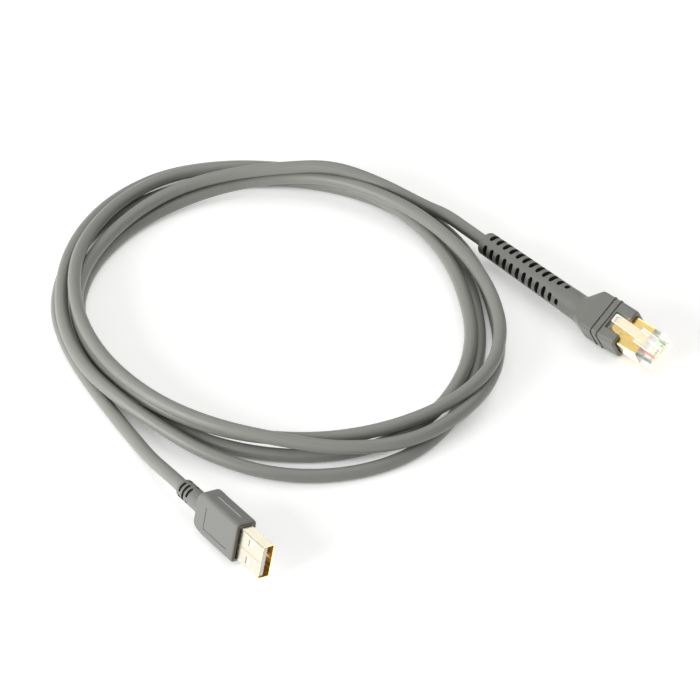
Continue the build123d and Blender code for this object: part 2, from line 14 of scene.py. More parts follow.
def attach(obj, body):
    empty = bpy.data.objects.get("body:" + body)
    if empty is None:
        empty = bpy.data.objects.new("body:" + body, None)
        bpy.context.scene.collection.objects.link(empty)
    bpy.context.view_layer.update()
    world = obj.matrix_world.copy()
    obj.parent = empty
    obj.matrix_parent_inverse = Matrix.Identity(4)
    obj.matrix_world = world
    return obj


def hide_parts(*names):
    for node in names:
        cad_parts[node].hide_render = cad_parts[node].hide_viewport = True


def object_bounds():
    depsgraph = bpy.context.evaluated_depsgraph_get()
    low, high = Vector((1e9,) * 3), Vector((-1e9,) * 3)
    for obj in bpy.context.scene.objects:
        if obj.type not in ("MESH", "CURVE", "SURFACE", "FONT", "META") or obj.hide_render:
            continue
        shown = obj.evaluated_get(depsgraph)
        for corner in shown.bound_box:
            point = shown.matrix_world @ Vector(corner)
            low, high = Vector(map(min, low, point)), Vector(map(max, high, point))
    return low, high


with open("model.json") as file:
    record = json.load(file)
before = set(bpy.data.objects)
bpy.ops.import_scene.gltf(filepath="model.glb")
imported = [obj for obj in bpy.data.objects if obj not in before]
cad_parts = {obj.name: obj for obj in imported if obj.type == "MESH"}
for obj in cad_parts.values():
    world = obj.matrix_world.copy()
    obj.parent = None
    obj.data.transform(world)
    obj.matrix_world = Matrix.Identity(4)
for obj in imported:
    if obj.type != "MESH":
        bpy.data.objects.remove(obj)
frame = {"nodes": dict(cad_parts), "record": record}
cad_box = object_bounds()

bl_info = {
    "name": "Scanner Cable",
    "version": (1, 0, 0),
    "blender": (4, 5, 0),
    "location": "View3D > Sidebar > Cable",
    "description": "Builds the visible pieces of a scanner's interface cable",
    "category": "Add Mesh",
}

MM = 0.001
ASSEMBLY = "cable_assembly"

# ---------------------------------------------------------------- how the plugs lie
MODULAR_ROLL = 28.8
USB_ROLL = 75.0
mounts = {mount["name"]: mount for mount in frame["record"]["mounts"]}


def plug_place(mount, roll):
    """From a plug's own frame, in millimetres, to the row frame, in metres."""
    tip = Matrix.Translation(Vector(mounts[mount]["pos_m"]))
    aim = Vector(mounts[mount]["axis"]).to_track_quat("X", "Z").to_matrix().to_4x4()
    return tip @ aim @ Matrix.Rotation(radians(roll), 4, "X") @ Matrix.Scale(MM, 4)


modular_place = plug_place("modular_plug", MODULAR_ROLL)
usb_place = plug_place("usb_plug", USB_ROLL)

# ---------------------------------------------------------------- sizes of both plugs, millimetres
POINTS = 48                      # points in each section of a moulding
FIT = 0.05                       # room between pieces that fit in one another
CLOSE = 0.001                    # a point nearer than this to a plane lies on it
MERGE = 0.002                    # corners nearer than this to each other are one
SMOOTH_BELOW = 38.0              # degrees between faces, past which an edge shades sharp
SHARP_ABOVE = 40.0               # degrees between faces, past which an edge is rounded over
SQUARE_TO = 0.8                  # a face's normal dot a direction, past which it faces that way
SKIN_R = 2.9                     # nearer a relief's axis than this, a face is not outer skin
SLOT_SLOPE = 0.01                # how far a slot's walls lean in
END_SHAPE = (0.5, 0.9)           # width left at a slot's end, and one space in from it

# ---------------------------------------------------------------- sizes of the modular plug
SHIELD_HALF = (6.09, 3.55)       # outside of the gold sleeve, across and up
SLEEVE_CORNER = 0.6
LATCH_SHOULDER = -4.3            # ahead of this the latch is as clear as the housing
BOOT_FRONT = -14.2
BOOT_RIM = 0.5                   # rounding of the boot's front
BOOT_ROUNDING = ((2.5, 0.0), (1.0, 0.04), (0.6, 0.1), (0.2, 0.45),
                 (0.0, 1.0))     # its sections: place behind the front and inset, in rims
FRONT_CORNER = 2.0               # the long edges grow rounder towards the boot's front
MOUTH_GAP = 0.45                 # room round the sleeve where it leaves the boot
MOUTH_BACK = -15.8
MOUTH_CORNER = 1.0
NOTCH_BACK = -20.6               # the notch over the latch's tab, open at the front
NOTCH_HALF = 3.45
NOTCH_EDGE = 0.28                # rounding of the notch's rim
RIM_ABOVE = 28.0                 # degrees between faces, past which its edges are that rim
BOOT_TOPS = (4.6, NOTCH_HALF, 2.3, 1.15)         # points along the boot's straight top
BOOT_SIDES = (0.0, 0.55)         # points up its straight side, as shares
RIBS = (-24.3, -21.6)            # front faces of the two ribs
CAVITY_BACK = -27.0
SHOULDER = ((-35.0, 0.12), (-34.5, 0.19), (-31.0, 0.8), (-30.1, 0.945), (-29.7, 0.985),
            (-29.2, 1.0))        # from relief to boot: place, and how far it has turned boxy
NECK = -35.3                     # where the long relief's axis leaves the boot's
RELIEF_BEND = 4.4                # degrees that the long relief turns off the boot's axis
RELIEF_SHIFT = (-0.8, -1.0)      # and how far it lies off that axis, across and up
CAD_BEND = 3.7                   # the same turn as the CAD has it, with no shift
RELIEF_LIP = 1.1                 # rounding of the relief's cable end
RELIEF_FLARE = ((-6.0, 0.0), (-2.4, 0.0), (-1.2, 0.04),
                (-0.5, 0.13))    # from the neck: place and widening
BORE_END = -1.0                  # the bore follows the relief's turn up to here
SLOT_START = 4.1                 # first slot's middle from the relief's cable end
SLOT_SEGMENTS = (8, 6, 4)        # section spaces that a slot spans: most, last but one, last
SLOT_TURN = 1                    # section spaces that the four rows are turned round
SLOT_FLOOR_R = 2.65

# ---------------------------------------------------------------- sizes of the USB plug
USB_BOOT_FRONT = -11.8
USB_BOOT_BACK = -33.7
USB_FACE_RIM = 1.1               # rounding of the boot's front
USB_FRONT_BAND = 0.35            # how much of that rounding is painted dark as shade, with the front face
USB_PLAN = ((0.0, 2.9), (0.08, 2.3), (0.2, 1.8), (0.45, 1.25), (0.8, 0.8), (1.3, 0.45),
            (1.9, 0.22), (2.8, 0.08), (4.0, 0.02))   # from the boot's back: place and inset
USB_EDGE = 0.5                   # rounding of the boot's wide faces at its back
USB_LEAN = 0.3                   # the boot's back leans over to its upper side
USB_LEAN_END = 7.0               # ahead of the boot's back, where the lean has died out
USB_TOPS = (4.1, 3.8, 1.9)       # points along the boot's straight top
USB_SIDES = (0.0, 0.06, 0.5)     # points up its straight side, as shares; the ridge is the first
USB_PANEL_BACK = -28.4           # the finger panel's back edge
USB_PANEL_END = -15.6            # the line along the panel stops here
PANEL_LINE = 0.3                 # width of the line round two sides of the panel
PANEL_DEPTH = 0.2
PANEL_SLOPE = 0.03
PANEL_BAND = 0.3                 # faces this near to the boot's height are its flat top
PARTING = 0.12                   # height of the parting line's ridge
USB_CAVITY_HALF = (6.4, 2.65)
USB_CAVITY_BACK = -26.05
USB_CAVITY_CORNER = 0.5
USB_MOUTH_GAP = 0.1              # the hollow's widening at the boot's front
USB_MOUTH_CORNER = 0.8
USB_MOUTH_DEPTH = 0.3
USB_CRIMP_BACK = -31.05
USB_CRIMP_R = 2.9
USB_LIP = 0.9                    # rounding of the relief's cable end
USB_FLARE = ((-3.6, 0.02), (-2.2, 0.1), (-0.9, 0.22), (-0.35, 0.31),
             (-0.1, 0.38))       # from the boot's back: place and widening of the relief
USB_SLOT_START = 2.0             # first ring of slots from the relief's cable end
USB_SLOTS = ((9, (6.5, 18.5, 30.5, 42.5)), (16, (9, 33)),
             (9, (6.5, 18.5, 30.5, 42.5)))       # each ring: spaces in a slot, slots' middles
USB_SLOT_DEPTH = 0.62
WINDOWS = (-9.0, -3.0)           # the shell's four windows lie between these
WINDOW_REACH = 5.0               # and no further across than this
SHELL_INSIDE = (5.8, 2.05)       # faces nearer the shell's axis than this are inside it

# ---------------------------------------------------------------- colours that stay as they are
RECESS_SHADE = (0.03, 0.03, 0.027)     # painted shade: the slots' insides, coloured near black because little light reaches them
# painted highlight: the parting line's ridge, coloured far paler than the moulding
PARTING_HIGHLIGHT = (0.5, 0.5, 0.48)
FRONT_FACE_SHADE = (0.075, 0.068, 0.05)                # painted shade on the USB boot's front, warmed as a painted reflection of the gold shell
# painted highlight: the latch's rounded edges, nearly opaque white
CLEAR_EDGE_HIGHLIGHT = (0.98, 0.96, 0.96)
WIDE_FACE_SHADE = (0.56, 0.54, 0.45)   # painted shade: a dimmer copy of the shell's plating for its wide faces, which mirror the front light
# painted shade: the dark edges of the shell's windows
WINDOW_EDGE_SHADE = (0.07, 0.055, 0.03)
INSULATION = {"black": (0.012, 0.012, 0.012), "red": (0.55, 0.012, 0.02),
              "white": (0.82, 0.82, 0.8), "green": (0.02, 0.22, 0.06)}
FLOOR_LIT = (0.8, 0.8, 0.8)      # the floor as it throws light on the object
FLOOR_SEEN = (0.72, 0.715, 0.7)  # and as the camera sees it, a little warm in the shadows

# ---------------------------------------------------------------- material slots after the first
RECESS_SHADE_SLOT, PARTING_HIGHLIGHT_SLOT, FRONT_SHADE_SLOT = 1, 2, 3  # of a moulding: painted shade in the slots, a painted highlight on the parting line, painted shade at the USB boot's front
EDGE_HIGHLIGHT_SLOT, TIP_SLOT = 1, 2                       # of the latch: a painted highlight on its rounded edges, then its clearer tip
SIDE_SLOT = 1                                    # of the gold sleeve: its sides, whose paler gold is a painted reflection of the white floor
INSIDE_SHADE_SLOT, WINDOW_SHADE_SLOT, WIDE_SHADE_SLOT = 1, 2, 3    # of the USB shell, each painted shade: deeper gold inside, dark window edges, dimmer plating on the wide faces

# ---------------------------------------------------------------- coil and leads, millimetres
COIL_CENTRE = (-71.1, 9.3)
COIL_HEADING = 75.6              # heading of the first mark; a mark follows every 30 degrees
MARKS = 12
COIL_REACHES = (                 # from the coil's middle to each turn, at its marks
    (77.3, 72.6, 71.2, 74.2, 72.2, 71.8, 69.9, 70.2, 73.0, 79.2, 83.9, 74.8),
    (67.8, 67.8, 72.0, 72.4, 72.1, 71.3, 67.2, 71.2, 76.8, 80.8, 74.2, 65.6),
    (65.6, 70.3, 77.6, 84.7, 78.5, 72.0, 69.6, 72.0, 76.5, 88.0, 84.5, 75.2),
    (75.0, 78.2, 84.4, 90.0, 82.8, 77.0, 75.4, 76.1, 86.9, 89.5, 77.3, 69.4),
    (69.4, 73.2, 76.8, 81.6, 82.0, 79.0, 75.2, 87.0),
)
STEPS = 24                       # route points in one turn
FIRST_STEP = 1                   # the modular lead joins half a mark after the first
LAST_STEPS = 2                   # the USB lead's points take over from the last steps
BOTTOM_UP = (4, 3, 2, 1, 0)      # which turn lies on which
CROSSED_BOTTOM_UP = (4, 3, 1, 0, 2)
CROSSED_MARKS = (3.3, 8.7)       # between these marks the third turn lies on top
SAG = 0.25                       # how far a step may drop below the middle of its neighbours
SETTLING = (30, 6)               # sweeps that lay the turns down, and smoothings in each
LEAD_STRAIGHT = 8.0              # each lead leaves its relief in line with it
MODULAR_LEAD_POINTS = ((-62.7, 85.2, 8.8),)
USB_LEAD_POINTS = ((-66.9, -70.1, 2.4), (-54.8, -72.8, 2.4), (-42.7, -76.0, 3.6))


# ================================================================ settings
class CableSettings(bpy.types.PropertyGroup):
    """Sizes and colours of the round cable."""
    diameter: FloatProperty(name="Diameter", description="Outside of the jacket",
                            default=0.0047, unit="LENGTH")
    colour: FloatVectorProperty(name="Jacket", description="Colour of the jacket",
                                default=(0.225, 0.228, 0.207), subtype="COLOR")


class ModularSettings(bpy.types.PropertyGroup):
    """Sizes and colours of the modular plug, its boot and its long strain relief."""
    boot_width: FloatProperty(name="Boot Width", description="Across the boot",
                              default=0.0154, unit="LENGTH")
    boot_height: FloatProperty(name="Boot Height", description="Through the boot",
                               default=0.0114, unit="LENGTH")
    boot_corner: FloatProperty(name="Boot Corner", description="Radius of its long edges",
                               default=0.0014, unit="LENGTH")
    rib_proud: FloatProperty(name="Rib Height", description="How far the ribs stand out",
                             default=0.0003, unit="LENGTH")
    groove_depth: FloatProperty(name="Groove Depth", description="Groove before each rib",
                                default=0.00035, unit="LENGTH")
    relief_length: FloatProperty(name="Relief Length", description="Of the long relief",
                                 default=0.0508, unit="LENGTH")
    relief_tip: FloatProperty(name="Relief Tip Radius", description="At the cable",
                              default=0.0044, unit="LENGTH")
    relief_root: FloatProperty(name="Relief Root Radius", description="At the boot",
                               default=0.0049, unit="LENGTH")
    slots: IntProperty(name="Slots", description="Slots in each of the four rows", default=12)
    slot_width: FloatProperty(name="Slot Width", description="Along the relief",
                              default=0.00175, unit="LENGTH")
    slot_pitch: FloatProperty(name="Slot Pitch", description="From slot to slot",
                              default=0.00344, unit="LENGTH")
    colour: FloatVectorProperty(name="Moulding", description="Colour of boot and relief",
                                default=(0.165, 0.168, 0.152), subtype="COLOR")


class UsbSettings(bpy.types.PropertyGroup):
    """Sizes and colours of the USB plug's boot and strain relief."""
    boot_width: FloatProperty(name="Boot Width", description="Across the boot",
                              default=0.0145, unit="LENGTH")
    boot_height: FloatProperty(name="Boot Height", description="Through the boot",
                               default=0.008, unit="LENGTH")
    boot_corner: FloatProperty(name="Boot Corner", description="Radius of its long edges",
                               default=0.0015, unit="LENGTH")
    relief_length: FloatProperty(name="Relief Length", description="Behind the boot",
                                 default=0.0124, unit="LENGTH")
    relief_radius: FloatProperty(name="Relief Radius", description="Outside of the relief",
                                 default=0.0033, unit="LENGTH")
    slot_width: FloatProperty(name="Slot Width", description="Along the relief",
                              default=0.00105, unit="LENGTH")
    slot_pitch: FloatProperty(name="Slot Pitch", description="From ring to ring",
                              default=0.00195, unit="LENGTH")
    colour: FloatVectorProperty(name="Moulding", description="Colour of boot and relief",
                                default=(0.17, 0.172, 0.16), subtype="COLOR")


class FinishSettings(bpy.types.PropertyGroup):
    """Colours of the metal, clear and inner pieces."""
    gold: FloatVectorProperty(name="Gold", description="Plating of shells and contacts",
                              default=(0.95, 0.71, 0.28), subtype="COLOR")
    pale_gold: FloatVectorProperty(name="Pale Gold", description="Plating of the USB shell",
                                   default=(1.0, 0.93, 0.74), subtype="COLOR")
    clear_latch: FloatVectorProperty(name="Latch", description="Tint of the clear latch",
                                     default=(0.98, 0.94, 0.94), subtype="COLOR")
    clear: FloatVectorProperty(name="Clear Plastic", description="Tint of the clear plug",
                               default=(0.93, 0.985, 0.95), subtype="COLOR")
    white: FloatVectorProperty(name="White Plastic", description="The USB tongue",
                               default=(0.92, 0.92, 0.9), subtype="COLOR")
    steel: FloatVectorProperty(name="Tinned Steel", description="Can and crimp ring",
                               default=(0.62, 0.62, 0.61), subtype="COLOR")


class StageSettings(bpy.types.PropertyGroup):
    """The camera, the lights and the floor."""
    lens: FloatProperty(name="Lens", description="Focal length", default=135.0,
                        unit="CAMERA")
    heading: FloatProperty(name="Heading", description="Which way the camera looks",
                           default=radians(135.6), subtype="ANGLE")
    pitch: FloatProperty(name="Pitch", description="How far the camera looks down",
                         default=radians(40.0), subtype="ANGLE")
    key_power: FloatProperty(name="Key Light", description="Power of the large soft light",
                             default=3.5, unit="POWER")
    front_power: FloatProperty(name="Front Light", description="Power of the light in front",
                               default=11.0, unit="POWER")
    fill_strength: FloatProperty(name="Fill", description="Strength of the light all round",
                                 default=0.4)


# ================================================================ mesh helpers
def in_mm(value):
    """A setting, which is in metres, in the plugs' millimetres."""
    return value / MM


def round_section(radius):
    """Points round a circle, across and up, from +Y over +Z."""
    return [(radius * cos(2 * pi * index / POINTS), radius * sin(2 * pi * index / POINTS))
            for index in range(POINTS)]


def boxy_section(half, corner, sides, arc_steps, tops, crest=0.0):
    """A rounded rectangle, point for point like round_section.

    half is its half width and half height. sides are heights up the straight side, as shares
    of it, and tops are places along the straight top. crest is a fine ridge down the side,
    which has died out a sixteenth of the way up."""
    straight = half[1] - corner
    quarter = [(half[0] + crest * max(0.0, 1 - 16 * share), share * straight)
               for share in sides]
    for step in range(arc_steps + 1):
        angle = pi / 2 * step / arc_steps
        quarter.append((half[0] - corner + corner * cos(angle), straight + corner * sin(angle)))
    quarter += [(top, half[1]) for top in tops]
    mirrored = [(-y, z) for y, z in reversed(quarter + [(0.0, half[1])])][:-1]
    upper = quarter + mirrored
    return upper + [(-y, -z) for y, z in upper]


def between(first, second, share):
    """A section part of the way from one section to another."""
    return [(a[0] + (b[0] - a[0]) * share, a[1] + (b[1] - a[1]) * share)
            for a, b in zip(first, second)]


def ring_at(x, section, turn=None):
    """A section set across the plug's axis at x, or across an axis that is turned."""
    points = [Vector((x, y, z)) for y, z in section]
    return [turn @ point for point in points] if turn else points


def round_ring(x, radius, turn=None):
    """A round section set across the axis at x."""
    return ring_at(x, round_section(radius), turn)


def relief_rings(bore, end, length, radii, lip, slots, turn=None):
    """Round sections of a slotted relief, from its bore over its rounded end to its last slot.

    radii are at its cable end and at its root. slots are the first slot's middle, their
    count, their pitch and their width, from the cable end, which lies at end."""
    tip_r, root_r = radii
    start, count, pitch, width = slots
    rings = [round_ring(end, bore, turn)]
    for step in range(6):
        angle = pi / 2 * step / 5
        rings.append(round_ring(end + lip * (1 - cos(angle)), tip_r - lip + lip * sin(angle), turn))
    for index in range(count):
        for side in (-0.5, 0.5):
            along = start + index * pitch + side * width
            rings.append(round_ring(end + along, tip_r + (root_r - tip_r) * along / length, turn))
    return rings


def loft(rings):
    """A closed skin through rings with as many points each; the last joins the first."""
    bm = bmesh.new()
    ring = bmesh.ops.create_circle(bm, segments=len(rings[0]), radius=1.0)["verts"]
    for vert, point in zip(ring, rings[0]):
        vert.co = point
    first_edges = bm.edges[:]
    edges = first_edges
    for points in rings[1:]:
        places = {tuple(vert.co): index for index, vert in enumerate(ring)}
        made = bmesh.ops.extrude_edge_only(bm, edges=edges)["geom"]
        edges = [item for item in made if isinstance(item, bmesh.types.BMEdge)]
        ring = [item for item in made if isinstance(item, bmesh.types.BMVert)]
        ring.sort(key=lambda vert: places[tuple(vert.co)])
        for vert, point in zip(ring, points):
            vert.co = point
    bmesh.ops.bridge_loops(bm, edges=first_edges + edges)
    bmesh.ops.recalc_face_normals(bm, faces=bm.faces[:])
    if bm.calc_volume(signed=True) < 0:
        bmesh.ops.reverse_faces(bm, faces=bm.faces[:])
    return bm


def sink(bm, faces, depth, slope):
    """Sink faces together as one pocket with slightly sloping walls; gives the walls."""
    return bmesh.ops.inset_region(bm, faces=faces, thickness=slope, depth=-depth,
                                  use_even_offset=True, use_boundary=True)["faces"]


def soften(bm, edges, width, segments=3, slot=-1):
    """Round the given edges over, with the new faces in a material slot if one is given."""
    bmesh.ops.bevel(bm, geom=edges, offset=width, offset_type="OFFSET", segments=segments,
                    profile=0.5, affect="EDGES", material=slot, clamp_overlap=True)


def sharp_edges(bm, limit):
    """Edges whose faces meet at more than a limit, in degrees."""
    return [edge for edge in bm.edges
            if len(edge.link_faces) == 2 and edge.calc_face_angle() > radians(limit)]


def add_piece(name, bm, place, material, nodes, body=ASSEMBLY):
    """A mesh object that stands for CAD nodes and rides on their body."""
    bm.transform(place)
    mesh = bpy.data.meshes.new(name)
    bm.to_mesh(mesh)
    bm.free()
    mesh.shade_smooth()
    mesh.set_sharp_from_angle(angle=radians(SMOOTH_BELOW))
    mesh.materials.append(material)
    piece = bpy.data.objects.new(name, mesh)
    bpy.context.scene.collection.objects.link(piece)
    weighted = piece.modifiers.new("even_shading", "WEIGHTED_NORMAL")
    weighted.keep_sharp = True
    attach(piece, body)
    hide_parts(*nodes)
    return piece


def merged_copy(node):
    """A CAD node's shape in metres, its triangles merged into whole faces."""
    bm = bmesh.new()
    bm.from_mesh(frame["nodes"][node].data)
    bmesh.ops.remove_doubles(bm, verts=bm.verts[:], dist=MERGE * MM)
    bmesh.ops.dissolve_limit(bm, angle_limit=radians(1.0), verts=bm.verts[:], edges=bm.edges[:])
    return bm


def add_finishes(piece, *materials):
    """Materials for the slots after a piece's own."""
    for material in materials:
        piece.data.materials.append(material)


def softened_node(node, name, material, width, body=ASSEMBLY, segments=2, edge=None):
    """A piece of a CAD node's own shape with its sharp edges rounded over.

    width is the rounding's, in millimetres. edge is a material for the rounded edges, where
    theirs is another, such as a painted highlight."""
    bm = merged_copy(node)
    soften(bm, sharp_edges(bm, SHARP_ABOVE), width * MM, segments, EDGE_HIGHLIGHT_SLOT if edge else -1)
    piece = add_piece(name, bm, Matrix.Identity(4), material, [node], body)
    if edge:
        add_finishes(piece, edge)
    return piece


# ================================================================ materials
def new_material(name, **values):
    """A material and its shader, with the given values on the shader's own sockets."""
    material = bpy.data.materials.new(name)
    material.use_nodes = True
    shader = material.node_tree.nodes["Principled BSDF"]
    for socket, value in values.items():
        shader.inputs[socket.replace("_", " ")].default_value = value
    return material, shader


def rgba(colour, factor=1.0):
    """A colour with an alpha, made lighter or darker by a factor."""
    return (colour[0] * factor, colour[1] * factor, colour[2] * factor, 1.0)


def surface_group():
    """Fine grain and slow blotches over a surface, built once and used by every finish."""
    group = bpy.data.node_groups.get("surface_variation")
    if group:
        return group
    group = bpy.data.node_groups.new("surface_variation", "ShaderNodeTree")
    for name, value in (("Grain Scale", 2500.0), ("Blotch Scale", 120.0)):
        socket = group.interface.new_socket(name, in_out="INPUT", socket_type="NodeSocketFloat")
        socket.default_value = value
    for name in ("Grain", "Blotch"):
        group.interface.new_socket(name, in_out="OUTPUT", socket_type="NodeSocketFloat")
    nodes = group.nodes
    links = group.links
    given = nodes.new("NodeGroupInput")
    put = nodes.new("NodeGroupOutput")
    place = nodes.new("ShaderNodeTexCoord")
    for name, detail, rough in (("Grain", 4.0, 0.6), ("Blotch", 3.0, 0.5)):
        noise = nodes.new("ShaderNodeTexNoise")
        noise.inputs["Detail"].default_value = detail
        noise.inputs["Roughness"].default_value = rough
        links.new(place.outputs["Object"], noise.inputs["Vector"])
        links.new(given.outputs[name + " Scale"], noise.inputs["Scale"])
        links.new(noise.outputs["Fac"], put.inputs[name])
    return group


def blended(tree, factor, first, second):
    """A colour that goes from the first to the second with a factor."""
    mix = tree.nodes.new("ShaderNodeMix")
    mix.data_type = "RGBA"
    mix.inputs["A"].default_value = first
    mix.inputs["B"].default_value = second
    tree.links.new(factor, mix.inputs["Factor"])
    return mix.outputs["Result"]


def spread(tree, value, source, target):
    """A Map Range node that takes a value from one range to another."""
    node = tree.nodes.new("ShaderNodeMapRange")
    node.inputs["From Min"].default_value = source[0]
    node.inputs["From Max"].default_value = source[1]
    node.inputs["To Min"].default_value = target[0]
    node.inputs["To Max"].default_value = target[1]
    tree.links.new(value, node.inputs["Value"])
    return node


def combined(tree, operation, first, second):
    """Two values put together by a Math node."""
    node = tree.nodes.new("ShaderNodeMath")
    node.operation = operation
    tree.links.new(first, node.inputs[0])
    tree.links.new(second, node.inputs[1])
    return node.outputs["Value"]


def add_variation(material, shader, colours, roughness, grain_scale, blotch_scale, bump):
    """Colour and roughness that drift with the blotches, and a fine bump from the grain.

    Scales count cells along a metre. bump is a strength and a height in millimetres."""
    tree = material.node_tree
    surface = tree.nodes.new("ShaderNodeGroup")
    surface.node_tree = surface_group()
    surface.inputs["Grain Scale"].default_value = grain_scale
    surface.inputs["Blotch Scale"].default_value = blotch_scale
    blotch = surface.outputs["Blotch"]
    tree.links.new(blended(tree, blotch, *colours), shader.inputs["Base Color"])
    rough = spread(tree, blotch, (0.3, 0.7), roughness)
    tree.links.new(rough.outputs["Result"], shader.inputs["Roughness"])
    relief = tree.nodes.new("ShaderNodeBump")
    relief.inputs["Strength"].default_value = bump[0]
    relief.inputs["Distance"].default_value = bump[1] * MM
    tree.links.new(surface.outputs["Grain"], relief.inputs["Height"])
    tree.links.new(relief.outputs["Normal"], shader.inputs["Normal"])
    return material


def jacket_material(name, colour):
    """Matt extruded jacket."""
    material, shader = new_material(name, IOR=1.48)
    return add_variation(material, shader, (rgba(colour, 0.94), rgba(colour, 1.06)),
                         roughness=(0.42, 0.52), grain_scale=1800.0, blotch_scale=90.0,
                         bump=(0.25, 0.02))


def moulding_material(name, colour):
    """Soft moulded plastic with a fine spark-eroded grain."""
    material, shader = new_material(name, IOR=1.48)
    return add_variation(material, shader, (rgba(colour, 0.93), rgba(colour, 1.07)),
                         roughness=(0.46, 0.58), grain_scale=3200.0, blotch_scale=160.0,
                         bump=(0.35, 0.02))


def gold_material(name, colour):
    """Bright gold plating, a little uneven."""
    material, shader = new_material(name, Metallic=1.0)
    return add_variation(material, shader, (rgba(colour, 0.93), rgba(colour, 1.0)),
                         roughness=(0.16, 0.28), grain_scale=900.0, blotch_scale=260.0,
                         bump=(0.12, 0.01))


def clear_material(name, colour, clearness):
    """Clear polycarbonate with faint flow marks, which lets light through to what it holds, and
    glows faintly white as painted light.
    """
    # painted light: a faint white glow, though the plastic is no lamp
    material, shader = new_material(name, IOR=1.2, Transmission_Weight=clearness,
                                    Emission_Color=(1.0, 1.0, 1.0, 1.0), Emission_Strength=0.045)
    tree = material.node_tree
    rays = tree.nodes.new("ShaderNodeLightPath")
    veil = spread(tree, rays.outputs["Is Shadow Ray"], (0.0, 1.0), (0.9, 0.12))
    tree.links.new(veil.outputs["Result"], shader.inputs["Alpha"])
    return add_variation(material, shader, (rgba(colour, 0.99), rgba(colour, 1.0)),
                         roughness=(0.02, 0.06), grain_scale=600.0, blotch_scale=300.0,
                         bump=(0.06, 0.01))


def plain_material(name, colour, roughness, metallic=0.0):
    """A moulded, tinned or insulated finish with slight unevenness."""
    material, shader = new_material(name, Metallic=metallic)
    return add_variation(material, shader, (rgba(colour, 0.93), rgba(colour, 1.05)),
                         roughness=(roughness, roughness + 0.1), grain_scale=2200.0,
                         blotch_scale=240.0, bump=(0.2, 0.01))


def tinned_material(name, colour):
    """Tin-plated steel."""
    return plain_material(name, colour, 0.3, 1.0)


def shared(name, maker, colour):
    """A finish that several operators use, made by the first of them."""
    return bpy.data.materials.get(name) or maker(name, colour)


# ================================================================ cable
def reach_at(reaches, place):
    """A turn's reach between two marks, on a smooth curve through all of them."""
    index = int(place)
    share = place - index
    last = len(reaches) - 1
    a, b, c, d = (reaches[min(max(index + k, 0), last)] for k in (-1, 0, 1, 2))
    bend = 2 * a - 5 * b + 4 * c - d + share * (3 * (b - c) + d - a)
    return b + 0.5 * share * (c - a + share * bend)


def lies_under(lower, upper, mark):
    """Whether one turn lies under another at a mark."""
    crossed = CROSSED_MARKS[0] < mark < CROSSED_MARKS[1]
    order = CROSSED_BOTTOM_UP if crossed else BOTTOM_UP
    return order.index(lower) < order.index(upper)


def gap_at(reaches, here, other):
    """How far one step lies outside another turn's step, or 0 where the two cross."""
    gaps = []
    for side in (-1, 0, 1):
        first, second = here + side, other + side
        if 0 <= min(first, second) and max(first, second) < len(reaches):
            gaps.append(reaches[first] - reaches[second])
    crossing = min(gaps) < 0 < max(gaps)
    return 0.0 if crossing else reaches[here] - reaches[other]


def coil_heights(reaches, marks, spacing):
    """How high each step lies: on the table, or on the turns that lie under it there."""
    table = (spacing + FIT) / 2
    heights = [table] * len(reaches)
    turns = [int(mark / MARKS) for mark in marks]
    sweeps, smoothings = SETTLING
    for _ in range(sweeps):
        held = [table] * len(reaches)
        for here, upper in enumerate(turns):
            for other in range(here % STEPS, len(reaches), STEPS):
                if not lies_under(turns[other], upper, marks[here] % MARKS):
                    continue
                gap = gap_at(reaches, here, other)
                if abs(gap) < spacing:
                    held[here] = max(held[here], heights[other] + sqrt(spacing ** 2 - gap ** 2))
        heights = held[:]
        for _ in range(smoothings):
            for here in range(1, len(heights) - 1):
                middle = (heights[here - 1] + heights[here + 1]) / 2
                heights[here] = max(held[here], middle - SAG)
    return heights


def coil_points(diameter):
    """The route's points round the loose coil, from the modular lead to the USB lead."""
    all_reaches = [reach for turn in COIL_REACHES for reach in turn]
    step = MARKS / STEPS
    count = int((len(all_reaches) - 1) / step) - FIRST_STEP + 1
    marks = [(FIRST_STEP + index) * step for index in range(count)]
    reaches = [reach_at(all_reaches, mark) for mark in marks]
    heights = coil_heights(reaches, marks, diameter + FIT)
    outside = 1 / cos(pi / STEPS)      # a route point lies outside the curve that it bends
    points = []
    for mark, reach, height in list(zip(marks, reaches, heights))[:-LAST_STEPS]:
        heading = radians(COIL_HEADING + 360 / MARKS * mark)
        points.append((COIL_CENTRE[0] + reach * outside * cos(heading),
                       COIL_CENTRE[1] + reach * outside * sin(heading), height))
    return points


def cable_curve(name, points, diameter):
    """A round cable along one smooth open curve through a route in millimetres."""
    curve = bpy.data.curves.new(name, "CURVE")
    curve.dimensions = "3D"
    curve.bevel_depth = diameter * MM / 2
    curve.bevel_resolution = 5
    curve.resolution_u = 8
    curve.use_fill_caps = True
    spline = curve.splines.new("NURBS")
    spline.points.add(len(points) - 1)
    for point, place in zip(spline.points, points):
        point.co = (place[0] * MM, place[1] * MM, place[2] * MM, 1.0)
    spline.order_u = 3
    spline.use_endpoint_u = True
    spline.use_smooth = True
    return curve


